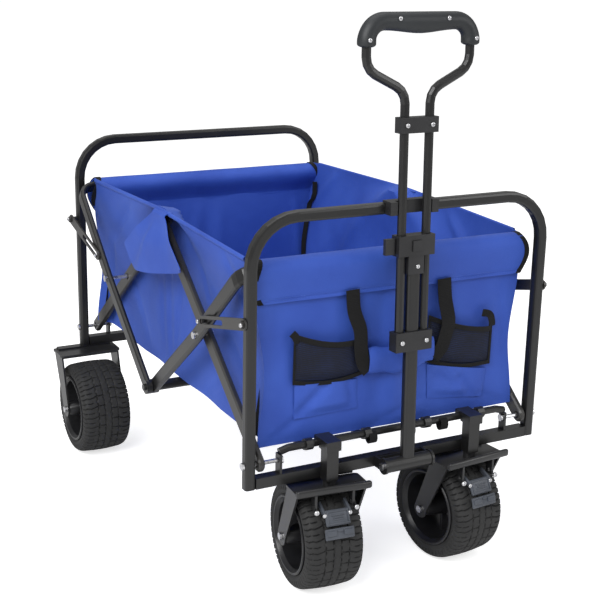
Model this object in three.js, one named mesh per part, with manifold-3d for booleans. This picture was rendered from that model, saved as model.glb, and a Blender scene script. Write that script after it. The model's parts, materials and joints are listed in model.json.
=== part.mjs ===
// Folding beach cart: two hoop frames joined by scissor arms, a fabric bag, a floor that lifts
// to an upside-down V, two swivel casters with brakes, two fixed rear wheels and a telescoping
// pull handle. Millimetres, +Z up, the handle end faces -Y, the ground is z = 0.
import * as THREE from "three";
import { mergeVertices } from "three/addons/utils/BufferGeometryUtils.js";
import Module from "manifold-3d";

const wasm = await Module();
wasm.setup();

const gap = 0.3; // between solids that touch
const runningGap = 0.5; // round a pin or a sliding tube

// hoop frames
const frameLength = 759; // between the two hoops' centre planes
const frameWidth = 531.6; // over the uprights
const hoopTube = 17;
const hoopTop = 615;
const hoopBottom = 197.5;
const hoopCornerRadius = 72; // at the tube's centre line
const pivotHeight = 235; // lower pivots of the scissor arms
const bracketInset = 60.8; // inner end of the lower pivot bolts, from the uprights' outside
const boltRadius = 3.5;
const boltHeadRadius = 6;
const boltHead = 3.5;

// scissor arms
const apexHeight = 531;
const armWide = 25;
const armThick = 10;
const rearArmInset = 37.3; // middle of each arm's thickness, from the uprights' outside
const frontArmInset = 25.8;
const frontTopInset = 8.8;
const rearTopOutset = 3.2;
const topTubeInset = 30.5; // from the hoop's plane to the tube in the bag's hem
const topTubeHeight = 522;
const topTubeBend = 26;
const centreTubeRadius = 9;
const linkPivotHeight = 455;
const linkStudShare = 0.25; // place of the link's stud between crossing and hem tube
const linkWide = 18;
const linkThick = 3;
const linkSlot = 78;

// floor
const railHeight = 252;
const railRadius = 6;
const railEndDrop = 13; // the rail's ends stand this far above the lower pivots
const floorRodRadius = 5.5;
const floorRodDrop = 8; // the rods lie this far below the rail
const floorRodEnd = 12; // from the cart's middle
const floorRodPlaces = [55, 158];
const floorRodShift = 16; // the rear rods lie this much nearer the middle
const floorBraceReach = 292; // from the rail to the rods' brace
const floorPad = 6;

// bag
const bagClearance = 1.2; // between the bag and the nearest bolt heads
const bagWall = 3;
const bagTop = 538.5;
const hemInset = 29.8; // end of each hem, from the uprights' outside
const hemHeight = 82;
const hemThick = 32;
const hemBore = 14;

// wheels and forks
const wheelRadius = 89;
const wheelWidth = 93.6;
const rimRadius = 62;
const axleRadius = 5;
const forkInside = 55; // from the wheel's middle to a fork leg
const forkSheet = 3.3;
const crownHalfWidth = 61;
const crownHeight = 183;
const rearCrownHeight = 191;
const casterPlace = 130; // kingpin from the cart's middle
const casterTrail = 46.5;
const casterYaw = 5.5; // degrees that the casters toe in
const postSize = 20;
const postBottom = 196;
const kingpinRadius = 10;
const capHalf = 12.5;
const rearWheelPlace = 259.5;
const rearWheelInset = 59; // axle in front of the rear hoop's plane
const pedalWide = 40;
const shoeWide = 48;
const brakePinHeight = 163;
const brakePinReach = 18; // in front of the kingpin
const brakePinRadius = 3;

// pull handle
const handleReach = 34; // pivot in front of the front hoop's plane
const handlePivotHeight = 207;
const handleLean = 1.7; // degrees
const barrelRadius = 11.5;
const barrelLength = 79;
const handleTubeWide = 22.5;
const handleTubeDeep = 14;
const rodRadius = 7;
const rodSpacing = 43;
const gripHalfWidth = 88; // at the tube's centre line
const gripHeight = 878;
const gripRadius = 12;
const gripEndHeight = 843;
const flareLow = 779;
const flareHigh = 812;
const rodBottom = 394;
const lockHeight = 553;
const lockSize = [63, 21, 31];
const skirtDrop = 28;
const sliderHeight = 405;
const sliderSize = [64, 20, 30];
const collarHeight = 731;
const collarWide = 65;
const collarHigh = 23;
const collarWall = 1; // in front of and behind the rods
const buttonSize = 16;
const buttonProud = 2;
const buttonDepth = 6;
const buttonTravel = 2;
const clipHalf = 42; // half the width of the clip on the hoop's top bar
const clipGap = 1.5; // round the rods resting in the clip
const gripBend = 28;

// worked out
const halfLength = frameLength / 2;
const uprightPlace = (frameWidth - hoopTube) / 2;
const bracketPlace = frameWidth / 2 - bracketInset;
const rearArmPlane = frameWidth / 2 - rearArmInset;
const frontArmPlane = frameWidth / 2 - frontArmInset;
const frontTopPlane = frameWidth / 2 - frontTopInset;
const rearTopPlane = frameWidth / 2 + rearTopOutset;
const hemHalfWidth = frameWidth / 2 - hemInset;
const armRise = apexHeight - pivotHeight;
const crossY = halfLength / 2;
const crossHeight = pivotHeight + armRise / 2;
const topTubeY = halfLength - topTubeInset;
const rodPlace = rodSpacing / 2;
const bagHalfWidth = rearArmPlane - armThick / 2 - gap - boltHead - bagClearance;

const paint = material(0x1c1d1f, 0.42, 0.5);
const plastic = material(0x17181a, 0.55, 0);
const gripRubber = material(0x2d3237, 0.6, 0);
const pedalPlastic = material(0x4b505a, 0.5, 0);
const zinc = material(0xc9ccd0, 0.3, 0.9);
const tyreRubber = material(0x202122, 0.85, 0);
const fabric = material(0x2f5fbe, 0.8, 0);

function material(color, roughness, metalness) {
  return new THREE.MeshStandardMaterial({ color, roughness, metalness });
}

// A closed three.js geometry as a solid for cuts and joins.
function solid(geometry) {
  const bare = geometry.clone();
  bare.deleteAttribute("normal");
  bare.deleteAttribute("uv");
  const merged = mergeVertices(bare, 1e-3);
  return new wasm.Manifold(
    new wasm.Mesh({
      numProp: 3,
      vertProperties: merged.attributes.position.array,
      triVerts: new Uint32Array(merged.index.array),
    }),
  );
}

function geometryOf(body) {
  const mesh = body.getMesh();
  const geometry = new THREE.BufferGeometry();
  geometry.setAttribute("position", new THREE.BufferAttribute(mesh.vertProperties, 3));
  geometry.setIndex(new THREE.BufferAttribute(mesh.triVerts, 1));
  return geometry;
}

function join(first, ...others) {
  let body = solid(first);
  for (const other of others) body = body.add(solid(other));
  return geometryOf(body);
}

function cut(first, ...tools) {
  let body = solid(first);
  for (const tool of tools) body = body.subtract(solid(tool));
  return geometryOf(body);
}

// A box between two corners.
function block(low, high) {
  const size = high.map((value, axis) => value - low[axis]);
  const middle = high.map((value, axis) => (value + low[axis]) / 2);
  return new THREE.BoxGeometry(...size).translate(...middle);
}

// A round bar between two points.
function bar(from, to, radius, sides = 12) {
  const start = new THREE.Vector3(...from);
  const along = new THREE.Vector3(...to).sub(start);
  const geometry = new THREE.CylinderGeometry(radius, radius, along.length(), sides);
  geometry.translate(0, along.length() / 2, 0);
  const turn = new THREE.Quaternion().setFromUnitVectors(new THREE.Vector3(0, 1, 0), along.normalize());
  return geometry.applyQuaternion(turn).translate(start.x, start.y, start.z);
}

// A bolt along X with a head at each end: x is where its heads' inner faces are.
function boltAcross(fromX, toX, y, z, radius = boltRadius) {
  const low = Math.min(fromX, toX);
  const high = Math.max(fromX, toX);
  return join(
    bar([low - boltHead, y, z], [high + boltHead, y, z], radius, 8),
    bar([low - boltHead, y, z], [low, y, z], boltHeadRadius, 10),
    bar([high, y, z], [high + boltHead, y, z], boltHeadRadius, 10),
  );
}

function roundedRect(wide, high, radius, segments = 2) {
  const shape = new THREE.Shape();
  const x = wide / 2 - radius;
  const y = high / 2 - radius;
  const corners = [[x, y, 0], [-x, y, 90], [-x, -y, 180], [x, -y, 270]];
  const points = [];
  for (const [centreX, centreY, start] of corners) {
    for (let step = 0; step <= segments; step++) {
      const angle = THREE.MathUtils.degToRad(start + (90 * step) / segments);
      points.push(new THREE.Vector2(centreX + radius * Math.cos(angle), centreY + radius * Math.sin(angle)));
    }
  }
  return shape.setFromPoints(points);
}

function roundShape(radius, sides = 12) {
  const points = [];
  for (let step = 0; step < sides; step++) {
    const angle = (2 * Math.PI * step) / sides;
    points.push(new THREE.Vector2(radius * Math.cos(angle), radius * Math.sin(angle)));
  }
  return new THREE.Shape(points);
}

// A path of straight runs joined by arcs, with stations only at the ends and round the bends.
class BentPath extends THREE.Curve {
  constructor(corners, radius, stepsPerBend = 4) {
    super();
    const points = corners.map((corner) => new THREE.Vector3(...corner));
    this.stations = [points[0]];
    for (let i = 1; i < points.length - 1; i++) {
      this.addBend(points[i - 1], points[i], points[i + 1], radius, stepsPerBend);
    }
    this.stations.push(points[points.length - 1]);
    this.firstWay = points[1].clone().sub(points[0]).normalize();
    this.lastWay = points[points.length - 1].clone().sub(points[points.length - 2]).normalize();
  }

  addBend(before, corner, after, radius, steps) {
    const arriving = corner.clone().sub(before).normalize();
    const leaving = after.clone().sub(corner).normalize();
    const turn = arriving.angleTo(leaving);
    const reach = radius * Math.tan(turn / 2);
    const inward = leaving.clone().sub(arriving).normalize();
    const centre = corner.clone().addScaledVector(inward, radius / Math.cos(turn / 2));
    const axis = arriving.clone().cross(leaving).normalize();
    const start = corner.clone().addScaledVector(arriving, -reach).sub(centre);
    const count = Math.max(1, Math.round((steps * turn) / (Math.PI / 2)));
    for (let step = 0; step <= count; step++) {
      this.stations.push(start.clone().applyAxisAngle(axis, (turn * step) / count).add(centre));
    }
  }

  get steps() {
    return this.stations.length - 1;
  }

  getUtoTmapping(u) {
    return u;
  }

  getPoint(t) {
    const place = Math.min(t * this.steps, this.steps);
    const index = Math.min(Math.floor(place + 1e-9), this.steps - 1);
    return this.stations[index].clone().lerp(this.stations[index + 1], place - index);
  }

  getTangent(t) {
    const index = Math.round(t * this.steps);
    if (index === 0) return this.firstWay.clone();
    if (index === this.steps) return this.lastWay.clone();
    const before = this.stations[index].clone().sub(this.stations[index - 1]).normalize();
    const after = this.stations[index + 1].clone().sub(this.stations[index]).normalize();
    return before.add(after).normalize();
  }
}

function sweep(section, corners, bendRadius, stepsPerBend) {
  const extrudePath = new BentPath(corners, bendRadius, stepsPerBend);
  return new THREE.ExtrudeGeometry(section, { steps: extrudePath.steps, extrudePath });
}

// A plate in a side plane (constant x) from its outline in (y, z).
function sidePlate(outline, fromX, toX, bevel = 0) {
  const thick = Math.abs(toX - fromX);
  const geometry = new THREE.ExtrudeGeometry(outline, {
    depth: thick - 2 * bevel,
    bevelEnabled: bevel > 0,
    bevelThickness: bevel,
    bevelSize: bevel,
    bevelOffset: -bevel,
    bevelSegments: 1,
    curveSegments: 4,
  });
  geometry.translate(0, 0, bevel);
  const basis = new THREE.Matrix4().makeBasis(
    new THREE.Vector3(0, 1, 0),
    new THREE.Vector3(0, 0, 1),
    new THREE.Vector3(1, 0, 0),
  );
  return geometry.applyMatrix4(basis).translate(Math.min(fromX, toX), 0, 0);
}

// A bar's outline with round ends between two points, with a hole at each place given.
function armOutline(from, to, wide, holes, holeRadius) {
  const shape = new THREE.Shape();
  const angle = Math.atan2(to[1] - from[1], to[0] - from[0]);
  const radius = wide / 2;
  shape.absarc(from[0], from[1], radius, angle + Math.PI / 2, angle + 1.5 * Math.PI, false);
  shape.absarc(to[0], to[1], radius, angle - Math.PI / 2, angle + Math.PI / 2, false);
  for (const [y, z] of holes) {
    const hole = new THREE.Path();
    hole.absarc(y, z, holeRadius, 0, 2 * Math.PI, true);
    shape.holes.push(hole);
  }
  return shape;
}

const cart = new THREE.Group();

function add(name, geometry, look, parent = cart) {
  const mesh = new THREE.Mesh(geometry, look);
  mesh.name = name;
  parent.add(mesh);
  return mesh;
}

const sides = [["left", -1], ["right", 1]];

// ---- hoop frames ----

function hoop(y) {
  const path = [
    [-uprightPlace, y, hoopBottom],
    [-uprightPlace, y, hoopTop - hoopTube / 2],
    [uprightPlace, y, hoopTop - hoopTube / 2],
    [uprightPlace, y, hoopBottom],
  ];
  return sweep(roundedRect(hoopTube, hoopTube, 4), path, hoopCornerRadius, 7);
}

function uprightHoles(y) {
  const reach = frameWidth / 2 + 1;
  const holeRadius = boltRadius + runningGap;
  return sides.map(([, side]) =>
    bar([side * (uprightPlace - hoopTube), y, pivotHeight], [side * reach, y, pivotHeight], holeRadius, 12),
  );
}

// Bottom bar with its pivot brackets and the rail that the floor hinges on.
function bottomBar(y) {
  const half = hoopTube / 2;
  const innerHalf = uprightPlace - half - gap;
  const parts = [block([-innerHalf, y - half, hoopBottom], [innerHalf, y + half, hoopBottom + hoopTube])];
  for (const [, side] of sides) {
    const from = side * (bracketPlace + 4);
    const low = [Math.min(side * bracketPlace, from), y - half + 1, hoopBottom + hoopTube - 1];
    const high = [Math.max(side * bracketPlace, from), y + half - 1, pivotHeight + 10];
    parts.push(block(low, high));
  }
  const railEnd = bracketPlace + 2;
  const rail = [
    [-railEnd, y, pivotHeight + railEndDrop],
    [-railEnd + 16, y, railHeight],
    [railEnd - 16, y, railHeight],
    [railEnd, y, pivotHeight + railEndDrop],
  ];
  parts.push(sweep(roundShape(railRadius, 10), rail, 12, 4));
  const holes = sides.map(([, side]) =>
    bar([side * (bracketPlace - 12), y, pivotHeight], [side * (bracketPlace + 12), y, pivotHeight],
      boltRadius + runningGap, 12),
  );
  return cut(join(...parts), ...holes);
}

add("front_hoop", cut(hoop(-halfLength), ...uprightHoles(-halfLength)), paint);
add("front_bottom_bar", bottomBar(-halfLength), paint);

const rearBosses = sides.map(([, side]) =>
  bar(
    [side * uprightPlace, halfLength, linkPivotHeight],
    [side * (rearTopPlane + armThick / 2 + gap), halfLength, linkPivotHeight],
    5,
    12,
  ),
);
const rearHoop = join(hoop(halfLength), ...rearBosses);
add("rear_hoop", cut(rearHoop, ...uprightHoles(halfLength)), paint);
add("rear_bottom_bar", bottomBar(halfLength), paint);

for (const [name, side] of sides) {
  const inner = side * (bracketPlace - gap);
  const outer = side * (frameWidth / 2 + gap);
  add("pivot_bolt_front_" + name, boltAcross(inner, outer, -halfLength, pivotHeight), zinc);
  add("pivot_bolt_rear_" + name, boltAcross(inner, outer, halfLength, pivotHeight), zinc);
}

// ---- scissor arms ----

const holeRadius = boltRadius + runningGap;

function sideArm(plane, side, from, to, holes) {
  const outline = armOutline(from, to, armWide, holes, holeRadius);
  return sidePlate(outline, side * (plane - armThick / 2), side * (plane + armThick / 2), 2.5);
}

const apex = [0, apexHeight];
for (const [name, side] of sides) {
  const frontFoot = [-halfLength, pivotHeight];
  const frontCross = [-crossY, crossHeight];
  add("arm_front_" + name, sideArm(frontArmPlane, side, frontFoot, apex, [frontFoot, frontCross, apex]), paint);

  const rearFoot = [halfLength, pivotHeight];
  const rearCross = [crossY, crossHeight];
  const rearArm = sideArm(rearArmPlane, side, rearFoot, apex, [rearFoot, rearCross]);
  const studStart = side * (rearArmPlane + armThick / 2 - 1);
  const studEnd = side * (frontArmPlane + armThick / 2 + gap);
  const apexStud = join(
    bar([studStart, ...apex], [studEnd + side * boltHead, ...apex], boltRadius, 12),
    bar([studEnd, ...apex], [studEnd + side * boltHead, ...apex], boltHeadRadius, 10),
  );
  add("arm_rear_" + name, join(rearArm, apexStud), paint);

  const frontInner = side * (frontArmPlane - armThick / 2 - gap);
  const frontOuter = side * (frontTopPlane + armThick / 2 + gap);
  add("cross_bolt_front_" + name, boltAcross(frontInner, frontOuter, ...frontCross), zinc);
  const rearInner = side * (rearArmPlane - armThick / 2 - gap);
  const rearOuter = side * (rearTopPlane + armThick / 2 + gap);
  add("cross_bolt_rear_" + name, boltAcross(rearInner, rearOuter, ...rearCross), zinc);
}

// A top frame: one bent tube from the centre pivot past the crossing, through the hem and back.
function topFrame(plane, end, studLength) {
  const section = roundedRect(armThick, armWide, 4.5);
  const path = [];
  const low = [0, pivotHeight];
  const cross = [end * crossY, crossHeight];
  const top = [end * topTubeY, topTubeHeight];
  path.push([-plane, ...low], [-plane, ...cross], [-plane, ...top]);
  path.push([plane, ...top], [plane, ...cross], [plane, ...low]);
  const tube = sweep(section, path, topTubeBend, 4);
  const parts = [tube];
  const holes = [];
  const stud = linkStud(end);
  for (const [, side] of sides) {
    const inner = side * (plane - armThick / 2);
    const outer = side * (plane + armThick / 2);
    parts.push(bar([inner, ...low], [outer, ...low], armWide / 2, 20));
    parts.push(bar([side * plane, ...stud], [outer + side * studLength, ...stud], boltRadius, 12));
    for (const place of [low, cross]) {
      const from = [inner - side * 5, ...place];
      const to = [outer + side * 5, ...place];
      holes.push(bar(from, to, holeRadius, 12));
    }
  }
  return cut(join(...parts), ...holes);
}

// Where the link's stud stands on a top frame, as (y, z).
function linkStud(end) {
  const y = crossY + (topTubeY - crossY) * linkStudShare;
  const z = crossHeight + (topTubeHeight - crossHeight) * linkStudShare;
  return [end * y, z];
}

const frontLinkPlane = frameWidth / 2 + gap + linkThick / 2;
const rearLinkPlane = rearTopPlane + armThick / 2 + 2 * gap + linkThick / 2;
const frontStudLength = frontLinkPlane - linkThick / 2 - gap - (frontTopPlane + armThick / 2);
add("front_top_frame", topFrame(frontTopPlane, -1, frontStudLength), paint);
add("rear_top_frame", topFrame(rearTopPlane, 1, gap / 2), paint);

function centreTube() {
  const inner = frontTopPlane - armThick / 2 - gap;
  const outer = rearTopPlane + armThick / 2 + gap;
  return join(
    bar([-inner, 0, pivotHeight], [inner, 0, pivotHeight], centreTubeRadius, 16),
    boltAcross(-outer, outer, 0, pivotHeight),
  );
}
add("centre_cross_tube", centreTube(), paint);

// A slotted link from the upright to the stud on the top frame, with its pivot bolt.
function link(plane, side, end) {
  const pivot = [end * halfLength, linkPivotHeight];
  const stud = linkStud(end);
  const way = new THREE.Vector2(stud[0] - pivot[0], stud[1] - pivot[1]).normalize();
  const outline = armOutline(pivot, stud, linkWide, [], 0);
  const slot = new THREE.Path();
  const angle = way.angle();
  const slotRadius = boltRadius + runningGap;
  const inEnd = [stud[0] - way.x * linkSlot, stud[1] - way.y * linkSlot];
  slot.absarc(stud[0], stud[1], slotRadius, angle + Math.PI / 2, angle - Math.PI / 2, true);
  slot.absarc(inEnd[0], inEnd[1], slotRadius, angle - Math.PI / 2, angle - 1.5 * Math.PI, true);
  outline.holes.push(slot);
  const inner = side * (plane - linkThick / 2);
  const outer = side * (plane + linkThick / 2);
  const head = bar([inner, ...pivot], [outer + side * boltHead, ...pivot], boltHeadRadius, 12);
  return join(sidePlate(outline, inner, outer), head);
}

for (const [name, side] of sides) {
  add("link_front_" + name, link(frontLinkPlane, side, -1), paint);
  add("link_rear_" + name, link(rearLinkPlane, side, 1), paint);
}

// ---- floor ----

// Rods that wrap the rail, with a brace across them.
function floorFrame(end, shift) {
  const railY = end * halfLength;
  const eyeRadius = railRadius + gap + 3;
  const places = [];
  for (const place of floorRodPlaces) places.push(place - shift, shift - place);
  const parts = [];
  const holes = [];
  const rodHeight = railHeight - floorRodDrop;
  for (const x of places) {
    const start = railY - end * (railRadius + 1.5);
    parts.push(bar([x, start, rodHeight], [x, end * floorRodEnd, rodHeight], floorRodRadius, 8));
    parts.push(bar([x - 6, railY, railHeight], [x + 6, railY, railHeight], eyeRadius, 10));
    holes.push(bar([x - 7, railY, railHeight], [x + 7, railY, railHeight], railRadius + runningGap, 10));
  }
  const widest = Math.max(...places);
  const braceY = railY - end * floorBraceReach;
  parts.push(bar([-widest, braceY, rodHeight], [widest, braceY, rodHeight], 4, 10));
  return cut(join(...parts), ...holes);
}

const padTop = bagBottom() + floorPad;

function bagBottom() {
  return railHeight - floorRodDrop + floorRodRadius + 1.5;
}

function padOf(end) {
  const inner = end * 1.5;
  const outer = end * (topTubeY + hemThick / 2 - bagWall - 3);
  const half = bagHalfWidth - bagWall - 2;
  const low = [-half, Math.min(inner, outer), bagBottom()];
  const high = [half, Math.max(inner, outer), padTop];
  return block(low, high);
}

add("floor_frame_front", floorFrame(-1, 0), paint);
add("floor_frame_rear", floorFrame(1, floorRodShift), paint);
add("floor_pad_front", padOf(-1), fabric);
add("floor_pad_rear", padOf(1), fabric);

// ---- bag ----

// Four walls open at top and bottom, with a hem at each end round the top frame's tube.
function bagShell() {
  const outerY = topTubeY + hemThick / 2;
  const bottom = bagBottom();
  const parts = [block([-bagHalfWidth, -outerY, bottom], [bagHalfWidth, outerY, bagTop])];
  const bores = [];
  for (const end of [-1, 1]) {
    const y = end * topTubeY;
    parts.push(block([-hemHalfWidth, y - hemThick / 2, bagTop - hemHeight],
      [hemHalfWidth, y + hemThick / 2, bagTop]));
    bores.push(bar([-hemHalfWidth - 5, y, topTubeHeight], [hemHalfWidth + 5, y, topTubeHeight], hemBore, 16));
  }
  const innerX = bagHalfWidth - bagWall;
  const innerY = outerY - bagWall;
  const hemY = outerY - hemThick;
  const hemBottom = bagTop - hemHeight;
  const lowHollow = block([-innerX, -innerY, bottom - 5], [innerX, innerY, hemBottom]);
  const highHollow = block([-innerX, -hemY, hemBottom - 5], [innerX, hemY, bagTop + 5]);
  return cut(join(...parts), lowHollow, highHollow, ...bores);
}
add("bag_shell", bagShell(), fabric);

// ---- wheels and forks ----

// A wheel turned about the X axis at the origin of its group.
function turned(points, segments) {
  const profile = points.map(([radius, along]) => new THREE.Vector2(radius, along));
  profile.push(profile[0].clone());
  return new THREE.LatheGeometry(profile, segments).rotateZ(-Math.PI / 2);
}

function tyre() {
  const half = wheelWidth / 2;
  const inner = rimRadius + gap;
  return turned([
    [inner, -half + 3], [wheelRadius - 20, -half], [wheelRadius - 8, -half + 3], [wheelRadius - 2, -half + 12],
    [wheelRadius, -half + 26], [wheelRadius, half - 26], [wheelRadius - 2, half - 12],
    [wheelRadius - 8, half - 3], [wheelRadius - 20, half], [inner, half - 3],
  ], 32);
}

function rim() {
  const half = wheelWidth / 2 - 4;
  const inner = rimRadius - 5;
  const barrel = turned([[inner, -half], [rimRadius, -half], [rimRadius, half], [inner, half]], 28);
  const hubRadius = 14;
  const hubHalf = forkInside - 1;
  const hub = bar([-hubHalf, 0, 0], [hubHalf, 0, 0], hubRadius, 20);
  const parts = [barrel, hub];
  const spokes = 6;
  for (let i = 0; i < spokes; i++) {
    const spoke = block([-9, -4, hubRadius - 4], [9, 4, rimRadius - 2]);
    parts.push(spoke.rotateX((2 * Math.PI * i) / spokes));
  }
  const bore = bar([-hubHalf - 1, 0, 0], [hubHalf + 1, 0, 0], axleRadius + gap, 16);
  return cut(join(...parts), bore);
}

// A fork leg's outline in (y, z): wide under the crown, round at the axle.
function legOutline(topFrom, topTo, axleY, crownHeight) {
  const foot = 15;
  const shape = new THREE.Shape();
  shape.moveTo(topFrom, crownHeight + 1);
  shape.lineTo(axleY - foot, wheelRadius);
  shape.absarc(axleY, wheelRadius, foot, Math.PI, 2 * Math.PI, false);
  shape.lineTo(topTo, crownHeight + 1);
  const hole = new THREE.Path();
  hole.absarc(axleY, wheelRadius, axleRadius + gap, 0, 2 * Math.PI, true);
  shape.holes.push(hole);
  return shape;
}

function forkBody(fromY, toY, axleY, crownHeight) {
  const crown = roundedRect(2 * crownHalfWidth, toY - fromY, 6);
  const plate = new THREE.ExtrudeGeometry(crown, { depth: forkSheet, bevelEnabled: false });
  plate.translate(0, (fromY + toY) / 2, crownHeight);
  const parts = [plate];
  const lipX = crownHalfWidth - 5;
  parts.push(bar([-lipX, fromY + 2.5, crownHeight], [lipX, fromY + 2.5, crownHeight], 3.3, 10));
  for (const [, side] of sides) {
    const outline = legOutline(fromY + 5, toY - 5, axleY, crownHeight);
    parts.push(sidePlate(outline, side * forkInside, side * (forkInside + forkSheet)));
  }
  return parts;
}

function casterFork() {
  const parts = forkBody(-20, 30, casterTrail, crownHeight);
  const top = postBottom - gap;
  parts.push(bar([0, 0, crownHeight + 1], [0, 0, top], kingpinRadius, 20));
  for (const [, side] of sides) {
    const ear = [side * 29, side * 33];
    const low = [Math.min(...ear), -brakePinReach - 6, brakePinHeight - 6];
    const high = [Math.max(...ear), -brakePinReach + 8, crownHeight + 1];
    parts.push(block(low, high));
  }
  const pinHole = bar(
    [-40, -brakePinReach, brakePinHeight],
    [40, -brakePinReach, brakePinHeight],
    brakePinRadius + runningGap,
    12,
  );
  return cut(join(...parts), pinHole);
}

// Pedal, shoe and pin in one: the shoe hangs just clear of the tread.
function brakePedal() {
  const pinY = -brakePinReach;
  const outline = new THREE.Shape();
  outline.moveTo(pinY - 3, brakePinHeight + 3);
  outline.lineTo(pinY - 20, brakePinHeight - 15);
  outline.lineTo(pinY - 19, brakePinHeight - 20);
  outline.lineTo(pinY - 15, brakePinHeight - 19);
  outline.lineTo(pinY + 2, brakePinHeight - 3);
  outline.closePath();
  const pedal = sidePlate(outline, -pedalWide / 2, pedalWide / 2);
  const shoe = new THREE.Shape();
  shoe.moveTo(pinY - 15, brakePinHeight - 15);
  shoe.lineTo(pinY - 19, brakePinHeight - 22);
  shoe.lineTo(pinY - 26, brakePinHeight - 41);
  shoe.lineTo(pinY - 23, brakePinHeight - 42);
  shoe.lineTo(pinY - 14, brakePinHeight - 22);
  shoe.closePath();
  const pad = sidePlate(shoe, -shoeWide / 2, shoeWide / 2);
  const pin = bar([-35, pinY, brakePinHeight], [35, pinY, brakePinHeight], brakePinRadius, 12);
  return join(pedal, pad, pin);
}

function axle() {
  const reach = forkInside + forkSheet + gap;
  return boltAcross(-reach, reach, 0, 0, axleRadius);
}

// Wheel, rim and axle bolt at one place, all on one line along X of the group.
function addWheel(parent, label, y) {
  const wheel = new THREE.Group();
  wheel.position.set(0, y, wheelRadius);
  parent.add(wheel);
  add("tyre_" + label, tyre(), tyreRubber, wheel);
  add("rim_" + label, rim(), plastic, wheel);
  add("axle_" + label, axle(), zinc, wheel);
}

const kingpinY = -(halfLength + hoopTube / 2 + gap + postSize / 2);
for (const [name, side] of sides) {
  const caster = new THREE.Group();
  caster.position.set(side * casterPlace, kingpinY, 0);
  caster.rotation.z = THREE.MathUtils.degToRad(side * casterYaw);
  cart.add(caster);
  add("caster_fork_" + name, casterFork(), paint, caster);
  add("brake_pedal_" + name, brakePedal(), pedalPlastic, caster);
  addWheel(caster, "front_" + name, casterTrail);

  const half = postSize / 2;
  const x = side * casterPlace;
  const post = block([x - half, kingpinY - half, postBottom], [x + half, kingpinY + half, railHeight]);
  const capLow = [x - capHalf, kingpinY - half - 3, railHeight - 6];
  const capHigh = [x + capHalf, -halfLength + railRadius + 3, railHeight + railRadius + runningGap + 3];
  const cap = block(capLow, capHigh);
  const reach = 30;
  const rail = bar([x - reach, -halfLength, railHeight], [x + reach, -halfLength, railHeight],
    railRadius + runningGap, 10);
  const slotLow = [x - reach, -halfLength - railRadius - runningGap, railHeight - 20];
  const slotHigh = [x + reach, -halfLength + railRadius + 5, railHeight];
  add("caster_post_" + name, cut(join(post, cap), rail, block(slotLow, slotHigh)), paint);
}

for (const [name, side] of sides) {
  const corner = new THREE.Group();
  const axleY = halfLength - rearWheelInset;
  corner.position.set(side * rearWheelPlace, axleY, 0);
  cart.add(corner);
  const parts = forkBody(12, rearWheelInset + hoopTube / 2, 0, rearCrownHeight);
  const pad = block(
    [-crownHalfWidth + 8, rearWheelInset - hoopTube / 2, rearCrownHeight + 1],
    [crownHalfWidth - 8, rearWheelInset + hoopTube / 2, hoopBottom - gap],
  );
  parts.push(pad);
  add("rear_fork_" + name, join(...parts), paint, corner);
  addWheel(corner, "rear_" + name, 0);
}

// ---- pull handle ----

function handleBracket() {
  const front = -(halfLength + hoopTube / 2 + gap);
  const pivotY = -(halfLength + handleReach);
  const outer = barrelLength / 2 + runningGap;
  const parts = [block([-outer - 4, front - 4, hoopBottom + 1], [outer + 4, front, hoopBottom + hoopTube - 1])];
  const holes = [];
  for (const [, side] of sides) {
    const ear = [side * outer, side * (outer + 4)];
    const low = [Math.min(...ear), pivotY, handlePivotHeight - 9];
    const high = [Math.max(...ear), front - 1, handlePivotHeight + 8];
    parts.push(block(low, high));
    parts.push(bar([ear[0], pivotY, handlePivotHeight], [ear[1], pivotY, handlePivotHeight], 13, 20));
  }
  holes.push(bar([-60, pivotY, handlePivotHeight], [60, pivotY, handlePivotHeight], boltRadius + gap, 12));
  return cut(join(...parts), ...holes);
}
add("handle_pivot_bracket", handleBracket(), paint);

function handleClip() {
  const back = -(halfLength + hoopTube / 2 + gap);
  const lean = Math.tan(THREE.MathUtils.degToRad(handleLean));
  const rodY = lean * (hoopTop - handlePivotHeight) - (halfLength + handleReach);
  const low = hoopTop - hoopTube + 1;
  const high = hoopTop + 4;
  const bend = Math.abs(lean) * (high - low) + clipGap;
  const parts = [block([-clipHalf, rodY + rodRadius + bend, low], [clipHalf, back, high])];
  for (const [, side] of sides) {
    const x = [side * (rodPlace + rodRadius + clipGap), side * clipHalf];
    parts.push(block([Math.min(...x), rodY - 2, low], [Math.max(...x), back - 1, high]));
  }
  parts.push(block([-clipHalf, back - 1, hoopTop + gap], [clipHalf, -halfLength, high]));
  return join(...parts);
}
add("handle_clip", handleClip(), plastic);

const handle = new THREE.Group();
handle.position.set(0, -(halfLength + handleReach), handlePivotHeight);
handle.rotation.x = -THREE.MathUtils.degToRad(handleLean);
cart.add(handle);

// A place along the handle as a height above its pivot.
function up(height) {
  return height - handlePivotHeight;
}

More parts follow.
